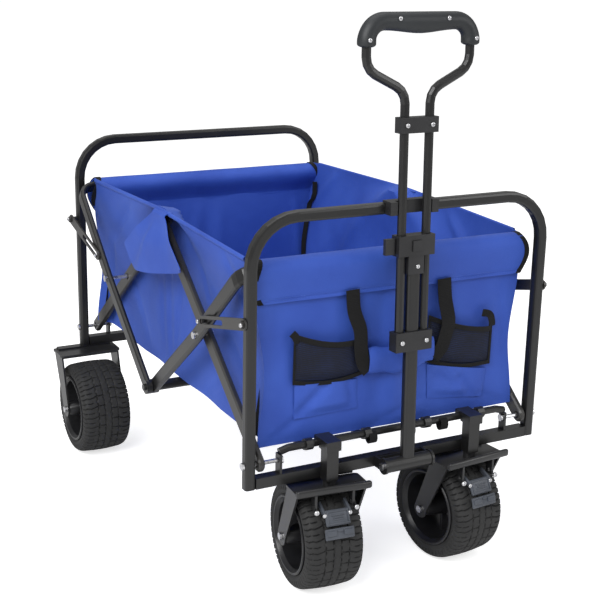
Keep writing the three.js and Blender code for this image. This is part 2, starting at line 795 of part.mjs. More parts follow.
function addHandle() {
  const barrel = bar([-barrelLength / 2, 0, 0], [barrelLength / 2, 0, 0], barrelRadius, 24);
  const lockTop = up(lockHeight + lockSize[2] / 2);
  const section = roundedRect(handleTubeWide, handleTubeDeep, 5, 3);
  const tube = new THREE.ExtrudeGeometry(section, { depth: lockTop - 8, bevelEnabled: false });
  const bore = bar([-50, 0, 0], [50, 0, 0], boltRadius + gap, 12);
  add("handle_tube", cut(join(barrel, tube), bore), paint, handle);
  const reach = barrelLength / 2 + runningGap + 4 + gap;
  add("handle_pivot_bolt", boltAcross(-reach, reach, -(halfLength + handleReach), handlePivotHeight), zinc);

  const [wide, deep, high] = lockSize;
  const middle = up(lockHeight);
  const lockBottom = middle - high / 2;
  const lock = block([-wide / 2, -deep / 2, lockBottom], [wide / 2, deep / 2, middle + high / 2]);
  const skirtHalf = rodPlace - rodRadius - runningGap - gap;
  const skirtDeep = deep / 2 - 1;
  const skirt = block([-skirtHalf, -skirtDeep, lockBottom - skirtDrop], [skirtHalf, skirtDeep, lockBottom + 1]);
  const tools = rodBores(lockBottom - 40, middle + high);
  const pocketSection = roundedRect(handleTubeWide + 2 * gap, handleTubeDeep + 2 * gap, 5, 3);
  const pocket = new THREE.ExtrudeGeometry(pocketSection, { depth: lockTop - 8 + gap, bevelEnabled: false });
  const buttonHole = buttonSize / 2 + gap;
  const well = block(
    [-buttonHole, -deep / 2 - 1, middle - buttonHole],
    [buttonHole, -deep / 2 + buttonDepth, middle + buttonHole],
  );
  add("lock_block", cut(join(lock, skirt), ...tools, pocket, well), plastic, handle);

  const half = buttonSize / 2;
  const face = -deep / 2 - buttonProud;
  const back = -handleTubeDeep / 2 - gap - buttonTravel;
  add("lock_button", block([-half, face, middle - half], [half, back, middle + half]), plastic, handle);

  const knuckle = 4;
  const hingeX = -wide / 2 - knuckle - gap;
  const tabHalf = 12;
  const tab = join(
    bar([hingeX, 0, middle - tabHalf], [hingeX, 0, middle + tabHalf], knuckle, 16),
    block([hingeX - 15, -knuckle, middle - tabHalf], [hingeX, knuckle - 1, middle + tabHalf]),
  );
  add("lock_lever", tab, plastic, handle);
}

// Bores for the two rods, as a pair of round bars.
function rodBores(from, to) {
  return sides.map(([, side]) => bar([side * rodPlace, 0, from], [side * rodPlace, 0, to], rodRadius + runningGap, 16));
}

function loopPath(low) {
  return [
    [-rodPlace, 0, up(low)],
    [-rodPlace, 0, up(flareLow)],
    [-gripHalfWidth, 0, up(flareHigh)],
    [-gripHalfWidth, 0, up(gripHeight)],
    [gripHalfWidth, 0, up(gripHeight)],
    [gripHalfWidth, 0, up(flareHigh)],
    [rodPlace, 0, up(flareLow)],
    [rodPlace, 0, up(low)],
  ];
}

function addLoop() {
  add("handle_loop", sweep(roundShape(rodRadius, 10), loopPath(rodBottom), gripBend, 4), paint, handle);

  const gripPath = [
    [-gripHalfWidth, 0, up(gripEndHeight)],
    [-gripHalfWidth, 0, up(gripHeight)],
    [gripHalfWidth, 0, up(gripHeight)],
    [gripHalfWidth, 0, up(gripEndHeight)],
  ];
  const sleeve = sweep(roundShape(gripRadius, 12), gripPath, gripBend, 4);
  const core = sweep(roundShape(rodRadius + 2 * gap, 10), loopPath(rodBottom), gripBend, 4);
  add("handle_grip", cut(sleeve, core), gripRubber, handle);

  const sliderMiddle = up(sliderHeight);
  const [wide, deep, high] = sliderSize;
  const rodFoot = up(rodBottom) - gap;
  const slider = block([-wide / 2, -deep / 2, sliderMiddle - high / 2], [wide / 2, deep / 2, sliderMiddle + high / 2]);
  const channel = roundedRect(handleTubeWide + 2 * runningGap, handleTubeDeep + 2 * runningGap, 5, 3);
  const tubeWay = new THREE.ExtrudeGeometry(channel, { depth: 60, bevelEnabled: false });
  tubeWay.translate(0, 0, sliderMiddle - 30);
  add("slider_bracket", cut(slider, tubeWay, ...rodBores(rodFoot, sliderMiddle + 30)), plastic, handle);

  const collarMiddle = up(collarHeight);
  const collarHalfDeep = rodRadius + runningGap + collarWall;
  const collar = block(
    [-collarWide / 2, -collarHalfDeep, collarMiddle - collarHigh / 2],
    [collarWide / 2, collarHalfDeep, collarMiddle + collarHigh / 2],
  );
  add("handle_collar", cut(collar, ...rodBores(collarMiddle - 30, collarMiddle + 30)), plastic, handle);
}

addHandle();
addLoop();

// ---- origin at the middle of the underside ----

const bounds = new THREE.Box3().setFromObject(cart, true);
const middle = bounds.getCenter(new THREE.Vector3());
cart.position.set(-middle.x, -middle.y, -bounds.min.z);

export default cart;
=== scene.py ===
import json
import math

import bpy
from mathutils import Matrix, Vector

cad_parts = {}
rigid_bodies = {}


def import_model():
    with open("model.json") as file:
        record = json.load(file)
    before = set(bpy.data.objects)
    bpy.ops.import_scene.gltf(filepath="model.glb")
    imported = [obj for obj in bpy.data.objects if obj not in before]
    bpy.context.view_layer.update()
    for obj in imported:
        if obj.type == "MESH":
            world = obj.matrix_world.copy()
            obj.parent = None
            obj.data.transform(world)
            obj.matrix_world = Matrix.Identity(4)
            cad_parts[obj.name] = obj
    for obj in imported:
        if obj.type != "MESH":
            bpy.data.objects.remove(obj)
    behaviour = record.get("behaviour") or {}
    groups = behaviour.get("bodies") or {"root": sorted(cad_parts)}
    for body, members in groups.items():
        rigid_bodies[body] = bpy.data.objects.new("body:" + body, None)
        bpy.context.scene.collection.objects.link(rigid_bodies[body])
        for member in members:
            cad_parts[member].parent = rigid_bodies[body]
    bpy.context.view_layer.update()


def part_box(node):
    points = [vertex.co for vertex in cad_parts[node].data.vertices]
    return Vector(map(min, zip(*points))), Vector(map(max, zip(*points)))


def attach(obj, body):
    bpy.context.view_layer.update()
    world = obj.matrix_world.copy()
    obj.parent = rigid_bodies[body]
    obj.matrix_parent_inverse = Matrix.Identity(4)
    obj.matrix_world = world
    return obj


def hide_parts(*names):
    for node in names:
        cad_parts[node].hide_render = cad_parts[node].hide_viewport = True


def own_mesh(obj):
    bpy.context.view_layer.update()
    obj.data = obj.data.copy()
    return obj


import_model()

# places that the frame gives
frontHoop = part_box("front_hoop")
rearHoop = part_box("rear_hoop")
frontY = (frontHoop[0].y + frontHoop[1].y) / 2  # the hoops' centre planes
rearY = (rearHoop[0].y + rearHoop[1].y) / 2
midY = (frontY + rearY) / 2
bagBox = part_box("bag_shell")


mm = 1 / 1000
sides = (("left", -1), ("right", 1))
ends = (("front", -1), ("rear", 1))
casterYaw = {"left": -5.5, "right": 5.5}  # degrees


# selecting, finishing

def deselectAll():
    for thing in bpy.data.objects:
        thing.select_set(False)


def takeUp(piece):
    deselectAll()
    piece.select_set(True)
    bpy.context.view_layer.objects.active = piece
    return piece


def applyPlace(piece):
    takeUp(piece)
    bpy.ops.object.transform_apply(location=True, rotation=True, scale=True)
    return piece


def addModifier(piece, kind, **settings):
    takeUp(piece)
    modifier = piece.modifiers.new(kind.title(), kind)
    for setting, value in settings.items():
        setattr(modifier, setting, value)
    bpy.ops.object.modifier_apply(modifier=modifier.name)
    return piece


# runs mesh tools in edit mode, on the whole piece unless told otherwise
def inEditMode(piece, *tools, select="SELECT"):
    takeUp(piece)
    bpy.ops.object.mode_set(mode="EDIT")
    bpy.ops.mesh.select_all(action=select)
    for tool in tools:
        tool()
    bpy.ops.object.mode_set(mode="OBJECT")


def weld(gap):
    return lambda: bpy.ops.mesh.remove_doubles(threshold=gap)


def faceOut():
    bpy.ops.mesh.normals_make_consistent(inside=False)


def outward(piece):
    inEditMode(piece, faceOut)


def smooth(piece, angle):
    takeUp(piece)
    bpy.ops.object.shade_smooth_by_angle(angle=math.radians(angle))


softPieces = []  # all the pieces that hang on the bag


def finish(piece, look, body, slotName):
    piece.data.materials.clear()
    piece.data.materials.append(look)
    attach(piece, body)
    if body == "bag":
        softPieces.append(piece)
    return piece


def copyOf(piece, name):
    twin = piece.copy()
    twin.data = piece.data.copy()
    twin.name = name
    bpy.context.scene.collection.objects.link(twin)
    return twin


def joinPieces(parts, name):
    deselectAll()
    for part in parts:
        part.select_set(True)
    bpy.context.view_layer.objects.active = parts[0]
    bpy.ops.object.join()
    parts[0].name = name
    return parts[0]


# short ways to wire a material's nodes
class Look:
    def __init__(self, name):
        self.material = bpy.data.materials.new(name)
        self.material.use_nodes = True
        self.nodes = self.material.node_tree.nodes
        self.links = self.material.node_tree.links
        self.shader = self.nodes["Principled BSDF"]

    def node(self, kind, **settings):
        made = self.nodes.new("ShaderNode" + kind)
        for setting, value in settings.items():
            if setting in made.inputs:
                made.inputs[setting].default_value = value
            else:
                setattr(made, setting, value)
        return made

    def link(self, source, target):
        self.links.new(source, target)

    # wires a value into one of the surface's own inputs
    def give(self, name, source):
        self.link(source, self.shader.inputs[name])

    def set(self, **values):
        for name, value in values.items():
            self.shader.inputs[name.replace("_", " ")].default_value = value

    def place(self, coordinates="Object"):
        return self.node("TexCoord").outputs[coordinates]

    def split(self, vector):
        made = self.node("SeparateXYZ")
        self.link(vector, made.inputs["Vector"])
        return made.outputs

    def noise(self, where, scale, detail=3, rough=0.5):
        made = self.node("TexNoise")
        made.inputs["Scale"].default_value = scale
        made.inputs["Detail"].default_value = detail
        made.inputs["Roughness"].default_value = rough
        self.link(where, made.inputs["Vector"])
        return made.outputs["Fac"]

    def ramp(self, value, low, high, start=0.0, end=1.0):
        made = self.node("ValToRGB")
        made.color_ramp.elements[0].position = start
        made.color_ramp.elements[1].position = end
        made.color_ramp.elements[0].color = (*low, 1)
        made.color_ramp.elements[1].color = (*high, 1)
        self.link(value, made.inputs["Fac"])
        return made.outputs["Color"]

    def math(self, operation, first, second=None):
        made = self.node("Math", operation=operation)
        for at, value in enumerate((first, second)):
            if value is None:
                continue
            if isinstance(value, (int, float)):
                made.inputs[at].default_value = value
            else:
                self.link(value, made.inputs[at])
        return made.outputs["Value"]

    def wave(self, value, turns):
        return self.math("SINE", self.math("MULTIPLY", value, 2 * math.pi * turns))

    # roughness that rises with a noise, by a swing from a least value
    def roughen(self, noise, swing, least):
        self.give("Roughness", self.math("ADD", self.math("MULTIPLY", noise, swing), least))

    def mix(self, share, first, second, blend="MIX"):
        made = self.node("MixRGB", blend_type=blend)
        for at, value in enumerate((share, first, second)):
            if isinstance(value, (int, float)):
                made.inputs[at].default_value = value
            elif isinstance(value, tuple):
                made.inputs[at].default_value = (*value, 1)
            else:
                self.link(value, made.inputs[at])
        return made.outputs["Color"]

    def bump(self, height, strength, distance, under=None):
        made = self.node("Bump")
        made.inputs["Strength"].default_value = strength
        made.inputs["Distance"].default_value = distance
        self.link(height, made.inputs["Height"])
        if under is not None:
            self.link(under, made.inputs["Normal"])
        return made.outputs["Normal"]


# finishes

cloth = {
    "lit": (0.040, 0.104, 0.50),
    "deep": (0.022, 0.066, 0.38),
    "threads": 900,  # waves in a metre, here and in the next three
    "webbingRibs": 620,
    "webbingCords": 420,
    "netHoles": 260,
    "roughness": 0.62,
    "sheen": 0.10,
}


# crossed threads as two waves, one along and one across
def weave(look, threads):
    at = look.split(look.place("UV"))
    return look.math("MULTIPLY", look.wave(at["X"], threads), look.wave(at["Y"], threads))


def clothLook(name, lit, deep):
    look = Look(name)
    solid = look.place()
    patches = look.noise(solid, 9, 4)
    shade = look.ramp(patches, deep, lit, 0.25, 0.75)
    threads = weave(look, cloth["threads"])
    speck = look.math("ADD", look.math("MULTIPLY", threads, 0.06), 0.97)
    look.give("Base Color", look.mix(1.0, shade, speck, "MULTIPLY"))
    soft = look.bump(look.noise(solid, 22, 5, 0.6), 0.22, 6 * mm)
    look.give("Normal", look.bump(threads, 0.25, 0.25 * mm, soft))
    look.roughen(patches, 0.14, cloth["roughness"] - 0.07)
    look.set(Sheen_Weight=cloth["sheen"], Sheen_Roughness=0.4, Specular_IOR_Level=0.35)
    look.shader.inputs["Sheen Tint"].default_value = (0.45, 0.6, 1.0, 1)
    return look.material


def webbingLook():
    look = Look("webbing")
    at = look.split(look.place("UV"))
    ribs = look.wave(at["Y"], cloth["webbingRibs"])
    cords = look.wave(at["X"], cloth["webbingCords"])
    height = look.math("ADD", look.math("MULTIPLY", ribs, 0.7), look.math("MULTIPLY", cords, 0.4))
    look.give("Base Color", look.ramp(height, (0.004, 0.004, 0.0045), (0.014, 0.0135, 0.0135)))
    look.give("Normal", look.bump(height, 0.5, 0.5 * mm))
    look.set(Roughness=0.78, Sheen_Weight=0.05, Specular_IOR_Level=0.2)
    return look.material


def netLook():
    look = Look("pocket_net")
    at = look.split(look.place("UV"))
    lean = look.math("MULTIPLY", at["Y"], 0.6)
    leaning = [look.wave(look.math(way, at["X"], lean), cloth["netHoles"]) for way in ("ADD", "SUBTRACT")]
    holes = look.math("MULTIPLY", *leaning)
    gaps = look.math("GREATER_THAN", holes, 0.12)
    patches = look.noise(look.place(), 30, 3)
    # painted shade: the blue cloth seen through the holes, darkened for the shade inside the pocket
    behind = look.ramp(patches, (0.004, 0.009, 0.036), (0.009, 0.022, 0.09), 0.3, 0.7)
    look.give("Base Color", look.mix(gaps, (0.005, 0.005, 0.006), behind))
    look.give("Normal", look.bump(holes, 0.6, 0.6 * mm))
    look.set(Roughness=0.7, Specular_IOR_Level=0.3)
    return look.material


# powder coat: near black, faint orange peel, a painted highlight of warm grey on faces that look up
def paintLook(name, colour, rough, lighter):
    look = Look(name)
    where = look.place()
    broad = look.noise(where, 14, 4)
    shade = look.ramp(broad, colour, lighter, 0.3, 0.8)
    way = look.split(look.node("NewGeometry").outputs["Normal"])
    up = look.math("MAXIMUM", way["Z"], 0.0)
    # painted highlight: faces that look up are lightened towards warm grey, in patches
    paintedTopHighlight = look.math("MULTIPLY", look.math("MULTIPLY", up, broad), 0.04)
    look.give("Base Color", look.mix(paintedTopHighlight, shade, (0.30, 0.29, 0.27)))
    look.give("Normal", look.bump(look.noise(where, 900, 2), 0.10, 0.3 * mm))
    look.roughen(broad, 0.16, rough - 0.08)
    look.set(Specular_IOR_Level=0.45, Coat_Weight=0.15, Coat_Roughness=0.22)
    return look.material


def plasticLook(name, colour, lighter, rough):
    look = Look(name)
    where = look.place()
    broad = look.noise(where, 20, 3)
    look.give("Base Color", look.ramp(broad, colour, lighter, 0.3, 0.7))
    grain = look.node("TexVoronoi")
    grain.inputs["Scale"].default_value = 1400
    look.link(where, grain.inputs["Vector"])
    look.give("Normal", look.bump(grain.outputs["Distance"], 0.12, 0.2 * mm))
    look.roughen(broad, 0.12, rough - 0.06)
    look.set(Specular_IOR_Level=0.45)
    return look.material


def zincLook():
    look = Look("zinc_plate")
    broad = look.noise(look.place(), 160, 4)
    look.give("Base Color", look.ramp(broad, (0.50, 0.50, 0.52), (0.78, 0.78, 0.79), 0.3, 0.7))
    look.roughen(broad, 0.2, 0.18)
    look.give("Normal", look.bump(broad, 0.05, 0.2 * mm))
    look.set(Metallic=1.0)
    return look.material


def tyreLook():
    look = Look("tyre_rubber")
    where = look.place()
    broad = look.noise(where, 26, 5)
    look.give("Base Color", look.ramp(broad, (0.014, 0.014, 0.0145), (0.030, 0.030, 0.030), 0.3, 0.75))
    look.give("Normal", look.bump(look.noise(where, 700, 3), 0.25, 0.4 * mm))
    look.roughen(broad, 0.15, 0.62)
    look.set(Specular_IOR_Level=0.4)
    return look.material


framePaint = paintLook("frame_powder_coat", (0.006, 0.006, 0.0065), 0.34, (0.011, 0.0108, 0.0105))
armPaint = paintLook("arm_powder_coat", (0.020, 0.019, 0.018), 0.40, (0.034, 0.032, 0.030))
crownPaint = paintLook("fork_powder_coat", (0.012, 0.012, 0.013), 0.30, (0.020, 0.020, 0.021))
blackPlastic = plasticLook("black_plastic", (0.012, 0.012, 0.013), (0.022, 0.022, 0.024), 0.46)
rimPlastic = plasticLook("rim_plastic", (0.008, 0.008, 0.009), (0.015, 0.015, 0.017), 0.34)
gripRubber = plasticLook("grip_rubber", (0.012, 0.014, 0.016), (0.020, 0.023, 0.026), 0.5)
pedalPlastic = plasticLook("pedal_plastic", (0.050, 0.057, 0.072), (0.075, 0.083, 0.100), 0.42)
zinc = zincLook()
tyreRubber = tyreLook()
blueCloth = clothLook("blue_cloth", cloth["lit"], cloth["deep"])
innerCloth = clothLook("blue_cloth_pad", (0.030, 0.085, 0.42), (0.018, 0.055, 0.32))
webbing = webbingLook()
pocketNet = netLook()
print("finishes ready")


# camera, floor, light

eye = {
    "place": (-1.0056, -1.5361, 0.9863),  # from the front hoop's front face
    "azimuth": -28.216,
    "elevation": 16.081,
    "roll": 1.217,
    "lens": 75.14,
    "sensor": 36,
}


# the camera's turn, for a view that looks along +Y at azimuth 0
def aim(azimuth, elevation, roll):
    turn = Matrix.Rotation(math.radians(azimuth), 3, "Z")
    tip = Matrix.Rotation(math.radians(90 - elevation), 3, "X")
    twist = Matrix.Rotation(math.radians(roll), 3, "Z")
    return turn @ tip @ twist


def setCamera():
    lens = bpy.data.cameras.new("camera")
    lens.lens = eye["lens"]
    lens.sensor_width = eye["sensor"]
    camera = bpy.data.objects.new("camera", lens)
    bpy.context.scene.collection.objects.link(camera)
    place = Vector(eye["place"]) + Vector((0, frontHoop[0].y, 0))
    turn = aim(eye["azimuth"], eye["elevation"], eye["roll"])
    camera.matrix_world = Matrix.Translation(place) @ turn.to_4x4()
    bpy.context.scene.camera = camera


def softbox(name, place, target, size, power):
    light = bpy.data.lights.new(name, "AREA")
    light.shape = "RECTANGLE"
    light.size, light.size_y = size
    light.energy = power
    lamp = bpy.data.objects.new(name, light)
    bpy.context.scene.collection.objects.link(lamp)
    lamp.location = place
    way = Vector(target) - Vector(place)
    lamp.rotation_euler = way.to_track_quat("-Z", "Y").to_euler()


studio = {
    "ambient": 0.40,
    "key": 92,
    "fill": 26,
    "top": 26,
    "floorGlow": 0.68,
}


def setStudio():
    bpy.context.scene.view_settings.view_transform = "Standard"
    world = bpy.data.worlds.new("studio")
    world.use_nodes = True
    tree = world.node_tree
    backdrop = tree.nodes["Background"]
    backdrop.inputs["Color"].default_value = (1, 1, 1, 1)
    # the backdrop itself stays white while the light that it gives is softer
    seen = tree.nodes.new("ShaderNodeLightPath")
    strength = tree.nodes.new("ShaderNodeMapRange")
    strength.inputs["To Min"].default_value = studio["ambient"]
    strength.inputs["To Max"].default_value = 1.0
    tree.links.new(seen.outputs["Is Camera Ray"], strength.inputs["Value"])
    tree.links.new(strength.outputs["Result"], backdrop.inputs["Strength"])
    bpy.context.scene.world = world
    deselectAll()
    bpy.ops.mesh.primitive_plane_add(size=60, location=(0, midY, 0))
    floor = bpy.context.active_object
    floor.name = "studio_floor"
    look = Look("studio_floor")
    cloudy = look.noise(look.place(), 2, 2)
    look.give("Base Color", look.ramp(cloudy, (0.88, 0.88, 0.88), (0.90, 0.90, 0.90)))
    look.set(Roughness=0.9, Specular_IOR_Level=0.1)
    look.shader.inputs["Emission Color"].default_value = (1, 1, 1, 1)
    # lifts the floor to white where it is seen, without lighting the cart from below
    seen = look.node("LightPath")
    glow = look.math("MULTIPLY", seen.outputs["Is Camera Ray"], studio["floorGlow"])
    look.give("Emission Strength", glow)
    floor.data.materials.append(look.material)
    aimAt = (0, midY, 0.35)
    softbox("key_light", (-2.2, midY - 1.6, 2.4), aimAt, (2.2, 1.6), studio["key"])
    softbox("fill_light", (2.2, midY - 2.4, 1.7), aimAt, (1.6, 1.6), studio["fill"])
    softbox("top_light", (0.1, midY + 0.2, 3.0), aimAt, (2.4, 2.4), studio["top"])


setCamera()
setStudio()
print("camera and studio set")


# the bag

bag = {
    "side": 218 * mm,  # half width between the arms
    "rimSide": 242 * mm,  # half width at the rim
    "footSide": 234 * mm,  # half width at the bottom corners
    "waistSide": 223 * mm,  # half width of the end panels where they pull in
    "end": 361 * mm,  # the end panels, from the middle
    "top": bagBox[1].z,
    "bottom": bagBox[0].z,
    "stitchLine": 474 * mm,
    "apexRise": 9.5 * mm,  # the rim lifts over the arms' crossing at the middle
    "apexFlat": 22 * mm,
    "armFall": 296 / 379.5,  # slope of the arms
    "wall": 1.6 * mm,
    "weldGap": 0.2 * mm,
    "across": 64,  # columns on an end panel
    "along": 96,  # columns on a side panel
    "rows": 60,
}

# creases of the side panels: start and end as (y, z), depth, half width
sideCreases = [
    ((150, 530), (285, 430), 5.0, 9),
    ((285, 430), (330, 300), 4.0, 8),
    ((25, 470), (22, 262), 3.5, 9),
    ((60, 420), (52, 280), 2.6, 8),
    ((-35, 450), (8, 268), 2.2, 7),
    ((-110, 470), (-170, 400), 2.5, 9),
    ((-250, 530), (-330, 455), 3.5, 9),
    ((-60, 330), (10, 262), 2.5, 8),
    ((-200, 320), (-120, 262), 2.0, 8),
    ((210, 380), (120, 270), 2.4, 9),
    ((345, 400), (325, 262), 2.5, 7),
]

# creases of the end panels: start and end as (x, z)
endCreases = [
    ((-20, 470), (-26, 300), 3.0, 12),
    ((25, 468), (34, 300), 3.0, 12),
    ((0, 440), (4, 256), -2.5, 14),
    ((120, 300), (215, 256), 2.5, 8),
    ((-150, 300), (-215, 256), 2.5, 8),
    ((200, 470), (214, 330), 2.5, 7),
    ((-205, 470), (-212, 330), 2.5, 7),
    ((60, 290), (-30, 258), 1.6, 8),
]


def smoothStep(value):
    share = min(max(value, 0.0), 1.0)
    return share * share * (3 - 2 * share)


def blendTo(first, second, share):
    return first + (second - first) * share


def creaseDepth(creases, across, height):
    total = 0.0
    for start, stop, depth, half in creases:
        way = Vector(stop) - Vector(start)
        at = Vector((across / mm, height / mm)) - Vector(start)
        share = at.dot(way) / way.length_squared
        if -0.15 < share < 1.15:
            off = (at - way * share).length
            fade = smoothStep((share + 0.15) / 0.35) * smoothStep((1.15 - share) / 0.35)
            total += depth * mm * fade * math.exp(-((off / half) ** 2))
    return total


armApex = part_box("arm_front_left")[1].z


# height of the arms' upper edges at a distance from the middle
def armTop(y):
    return armApex - max(abs(y) - 12 * mm, 0) * bag["armFall"] + 4 * mm


def rimHeight(y):
    away = max(abs(y) - bag["apexFlat"], 0) / (bag["end"] - bag["apexFlat"])
    return bag["top"] + bag["apexRise"] * max(1 - away, 0)


# half width of a side panel at a place along the cart and a height
def sideReach(y, z):
    rim = rimHeight(y)
    low = min(armTop(y), rim - 2.5 * mm)
    inside = bag["side"] - 2 * mm
    flare = smoothStep((z - low) / max(rim - low, 2 * mm))
    return blendTo(inside, bag["rimSide"], flare)


# half width of the end panels at a height: wide at the hem and the foot, pulled in between
def endReach(z):
    share = (z - bag["bottom"]) / (bag["stitchLine"] - bag["bottom"])
    if share > 1:
        return bag["rimSide"] - 4 * mm
    foot = blendTo(bag["footSide"], bag["waistSide"], smoothStep(share / 0.5))
    return blendTo(foot, bag["rimSide"] - 6 * mm, smoothStep((share - 0.5) / 0.5))


# one place on the bag: around runs 0 to 4, one for each panel, starting at the front left corner
def bagPlace(around, z):
    panel = int(around) % 4
    share = around - int(around)
    endY = bag["end"] - 5 * mm * smoothStep((z - 0.3) / 0.15)
    if panel in (0, 2):
        end = -1 if panel == 0 else 1
        reach = endReach(z)
        x = -end * blendTo(-reach, reach, share)
        y = end * endY
        dent = creaseDepth(endCreases, x, z)
        belly = 5 * mm * math.sin(math.pi * share) * math.sin(math.pi * min((z - bag["bottom"]) / 0.21, 1))
        y -= end * (dent - belly * 0.4)
        return Vector((x, midY + y, z))
    side = 1 if panel == 1 else -1
    y = blendTo(-endY, endY, share) * side
    reach = sideReach(y, z)
    corner = smoothStep((abs(y) / endY - 0.90) / 0.10)
    reach = blendTo(reach, endReach(z), corner)
    dent = creaseDepth(sideCreases, y * (1 if side < 0 else -1), z) * (1 - corner)
    calm = 1 - smoothStep((z - armTop(y)) / (20 * mm))
    slack = 3.5 * mm * math.sin(3.1 * y / 0.1 + z * 9) * math.sin(z * 17 + 1.3) * calm
    return Vector((side * (reach - dent - max(slack, -1 * mm)), midY + y, z))


def bagRim(around):
    panel = int(around) % 4
    if panel in (0, 2):
        return bag["stitchLine"] + 14 * mm
    y = bagPlace(around, 0.5).y - midY
    return rimHeight(y)


def gridPiece(name, columns, rows, place, closed=False):
    deselectAll()
    bpy.ops.mesh.primitive_grid_add(x_subdivisions=columns, y_subdivisions=rows, size=2)
    piece = bpy.context.active_object
    piece.name = name
    for vertex in piece.data.vertices:
        vertex.co = place((vertex.co.x + 1) / 2, (vertex.co.y + 1) / 2)
    if closed:
        inEditMode(piece, weld(0.05 * mm))
    return piece


# a UV map in metres along the two grid directions
def measureUv(piece, width, height):
    for loop in piece.data.uv_layers.active.data:
        loop.uv = (loop.uv.x * width, loop.uv.y * height)


def sheetArea(piece):
    return sum(face.area for face in piece.data.polygons)


# gives a narrow strip its thickness and its finish, with its width and height for the weave
def finishStrip(strip, width, height, thick, body):
    measureUv(strip, width, height)
    addModifier(strip, "SOLIDIFY", thickness=thick * mm, offset=0)
    smooth(strip, 50)
    outward(strip)
    finish(strip, webbing, body, "black_plastic")


def makeBagWalls():
    columns = 2 * (bag["across"] + bag["along"])

    def place(share, up):
        count = share * columns
        steps = [bag["across"], bag["along"], bag["across"], bag["along"]]
        panel = 0
        while panel < 3 and count >= steps[panel] - 1e-6:
            count -= steps[panel]
            panel += 1
        around = panel + min(count / steps[panel], 0.99999)
        return bagPlace(around, blendTo(bag["bottom"], bagRim(around), up))

    walls = gridPiece("bag_walls", columns, bag["rows"], place)
    girth = 4 * (bag["side"] + bag["end"])
    measureUv(walls, girth, bag["top"] - bag["bottom"])
    inEditMode(walls, weld(bag["weldGap"]), faceOut)
    area = sheetArea(walls)
    addModifier(walls, "SOLIDIFY", thickness=bag["wall"], offset=-1)
    smooth(walls, 60)
    finish(walls, blueCloth, "bag", "cloth")
    return walls, area


walls, wallArea = makeBagWalls()
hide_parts("bag_shell")
print("bag walls made")


# a place given in millimetres: across, along from the middle, up
def spot(x, y, z):
    return Vector((x * mm, midY + y * mm, z * mm))


# hems: a sleeve at each end round the top frames' tubes
hem = {
    "tubeY": 349,
    "low": 474,
    "top": 538.5,
    "bulge": 16.5,
    "endReach": 235,
    "endBulge": 12,
    "columns": 80,
    "rows": 40,
    "binding": 8,
    "girth": 0.17,  # metres round the section
}


# the sleeve's section, as (out from the tube towards the cart's end, height) while share goes round
def hemSection(share, extra=0.0):
    bulge = hem["bulge"] + extra
    middle = hem["top"] - hem["bulge"]
    if share < 0.4:
        part = share / 0.4
        out = blendTo(11.5, bulge, smoothStep(part)) + extra * (1 - part)
        return out, blendTo(hem["low"], middle, part)
    if share < 0.6:
        angle = math.pi * (share - 0.4) / 0.2
        return bulge * math.cos(angle), middle + bulge * math.sin(angle)
    part = (share - 0.6) / 0.4
    return -blendTo(bulge, -7.5 - extra, smoothStep(part)), blendTo(middle, hem["low"], part)


def hemEnd(height):
    share = (height - hem["low"]) / (hem["top"] - hem["low"])
    return hem["endReach"] + hem["endBulge"] * math.sin(math.pi * min(max(share, 0), 1))


# the sleeve turns with the tube, and the bands below it hang with the bag
hemBands = {"sleeve": (0.275, 0.725), "outer": (0.0, 0.285), "inner": (0.715, 1.0)}


def hemBody(band, end):
    if band != "sleeve":
        return "bag"
    return "front_top" if end < 0 else "rear_top"


def makeHem(name, end, band):
    first, last = hemBands[band]

    def place(along, around):
        out, height = hemSection(blendTo(first, last, around))
        reach = hemEnd(height)
        x = blendTo(-reach, reach, along)
        ripple = 0.9 * math.sin(x * 0.047 + 1) * math.sin(x * 0.013 + height * 0.06)
        edge = 1.1 * math.exp(-(((height - hem["low"] - 5) / 3) ** 2))
        return spot(x, end * (hem["tubeY"] + out + ripple - edge), height)

    sleeve = gridPiece(name, hem["columns"], hem["rows"], place)
    measureUv(sleeve, 2 * hem["endReach"] * mm, hem["girth"] * (last - first))
    if end > 0:
        inEditMode(sleeve, bpy.ops.mesh.flip_normals)
    area = sheetArea(sleeve)
    addModifier(sleeve, "SOLIDIFY", thickness=1.4 * mm, offset=-1 if end > 0 else 1)
    smooth(sleeve, 60)
    finish(sleeve, blueCloth, hemBody(band, end), "cloth")
    return sleeve, area


def makeHemBinding(name, end, side, band):
    first, last = hemBands[band]

    def place(around, across):
        out, height = hemSection(blendTo(first, last, around), 1.1)
        x = hemEnd(height) + blendTo(-hem["binding"], 1.2, across)
        return spot(side * x, end * (hem["tubeY"] + out), height)

    edge = gridPiece(name, 24, 4, place)
    measureUv(edge, hem["girth"] * (last - first), (hem["binding"] + 1) * mm)
    outward(edge)
    addModifier(edge, "SOLIDIFY", thickness=1.2 * mm, offset=0)
    smooth(edge, 50)
    finish(edge, webbing, hemBody(band, end), "black_plastic")


threadLook = plasticLook("sewing_thread", (0.030, 0.085, 0.40), (0.05, 0.12, 0.50), 0.6)
stitch = {"share": 0.68, "wide": 0.9 * mm, "high": 0.8 * mm}


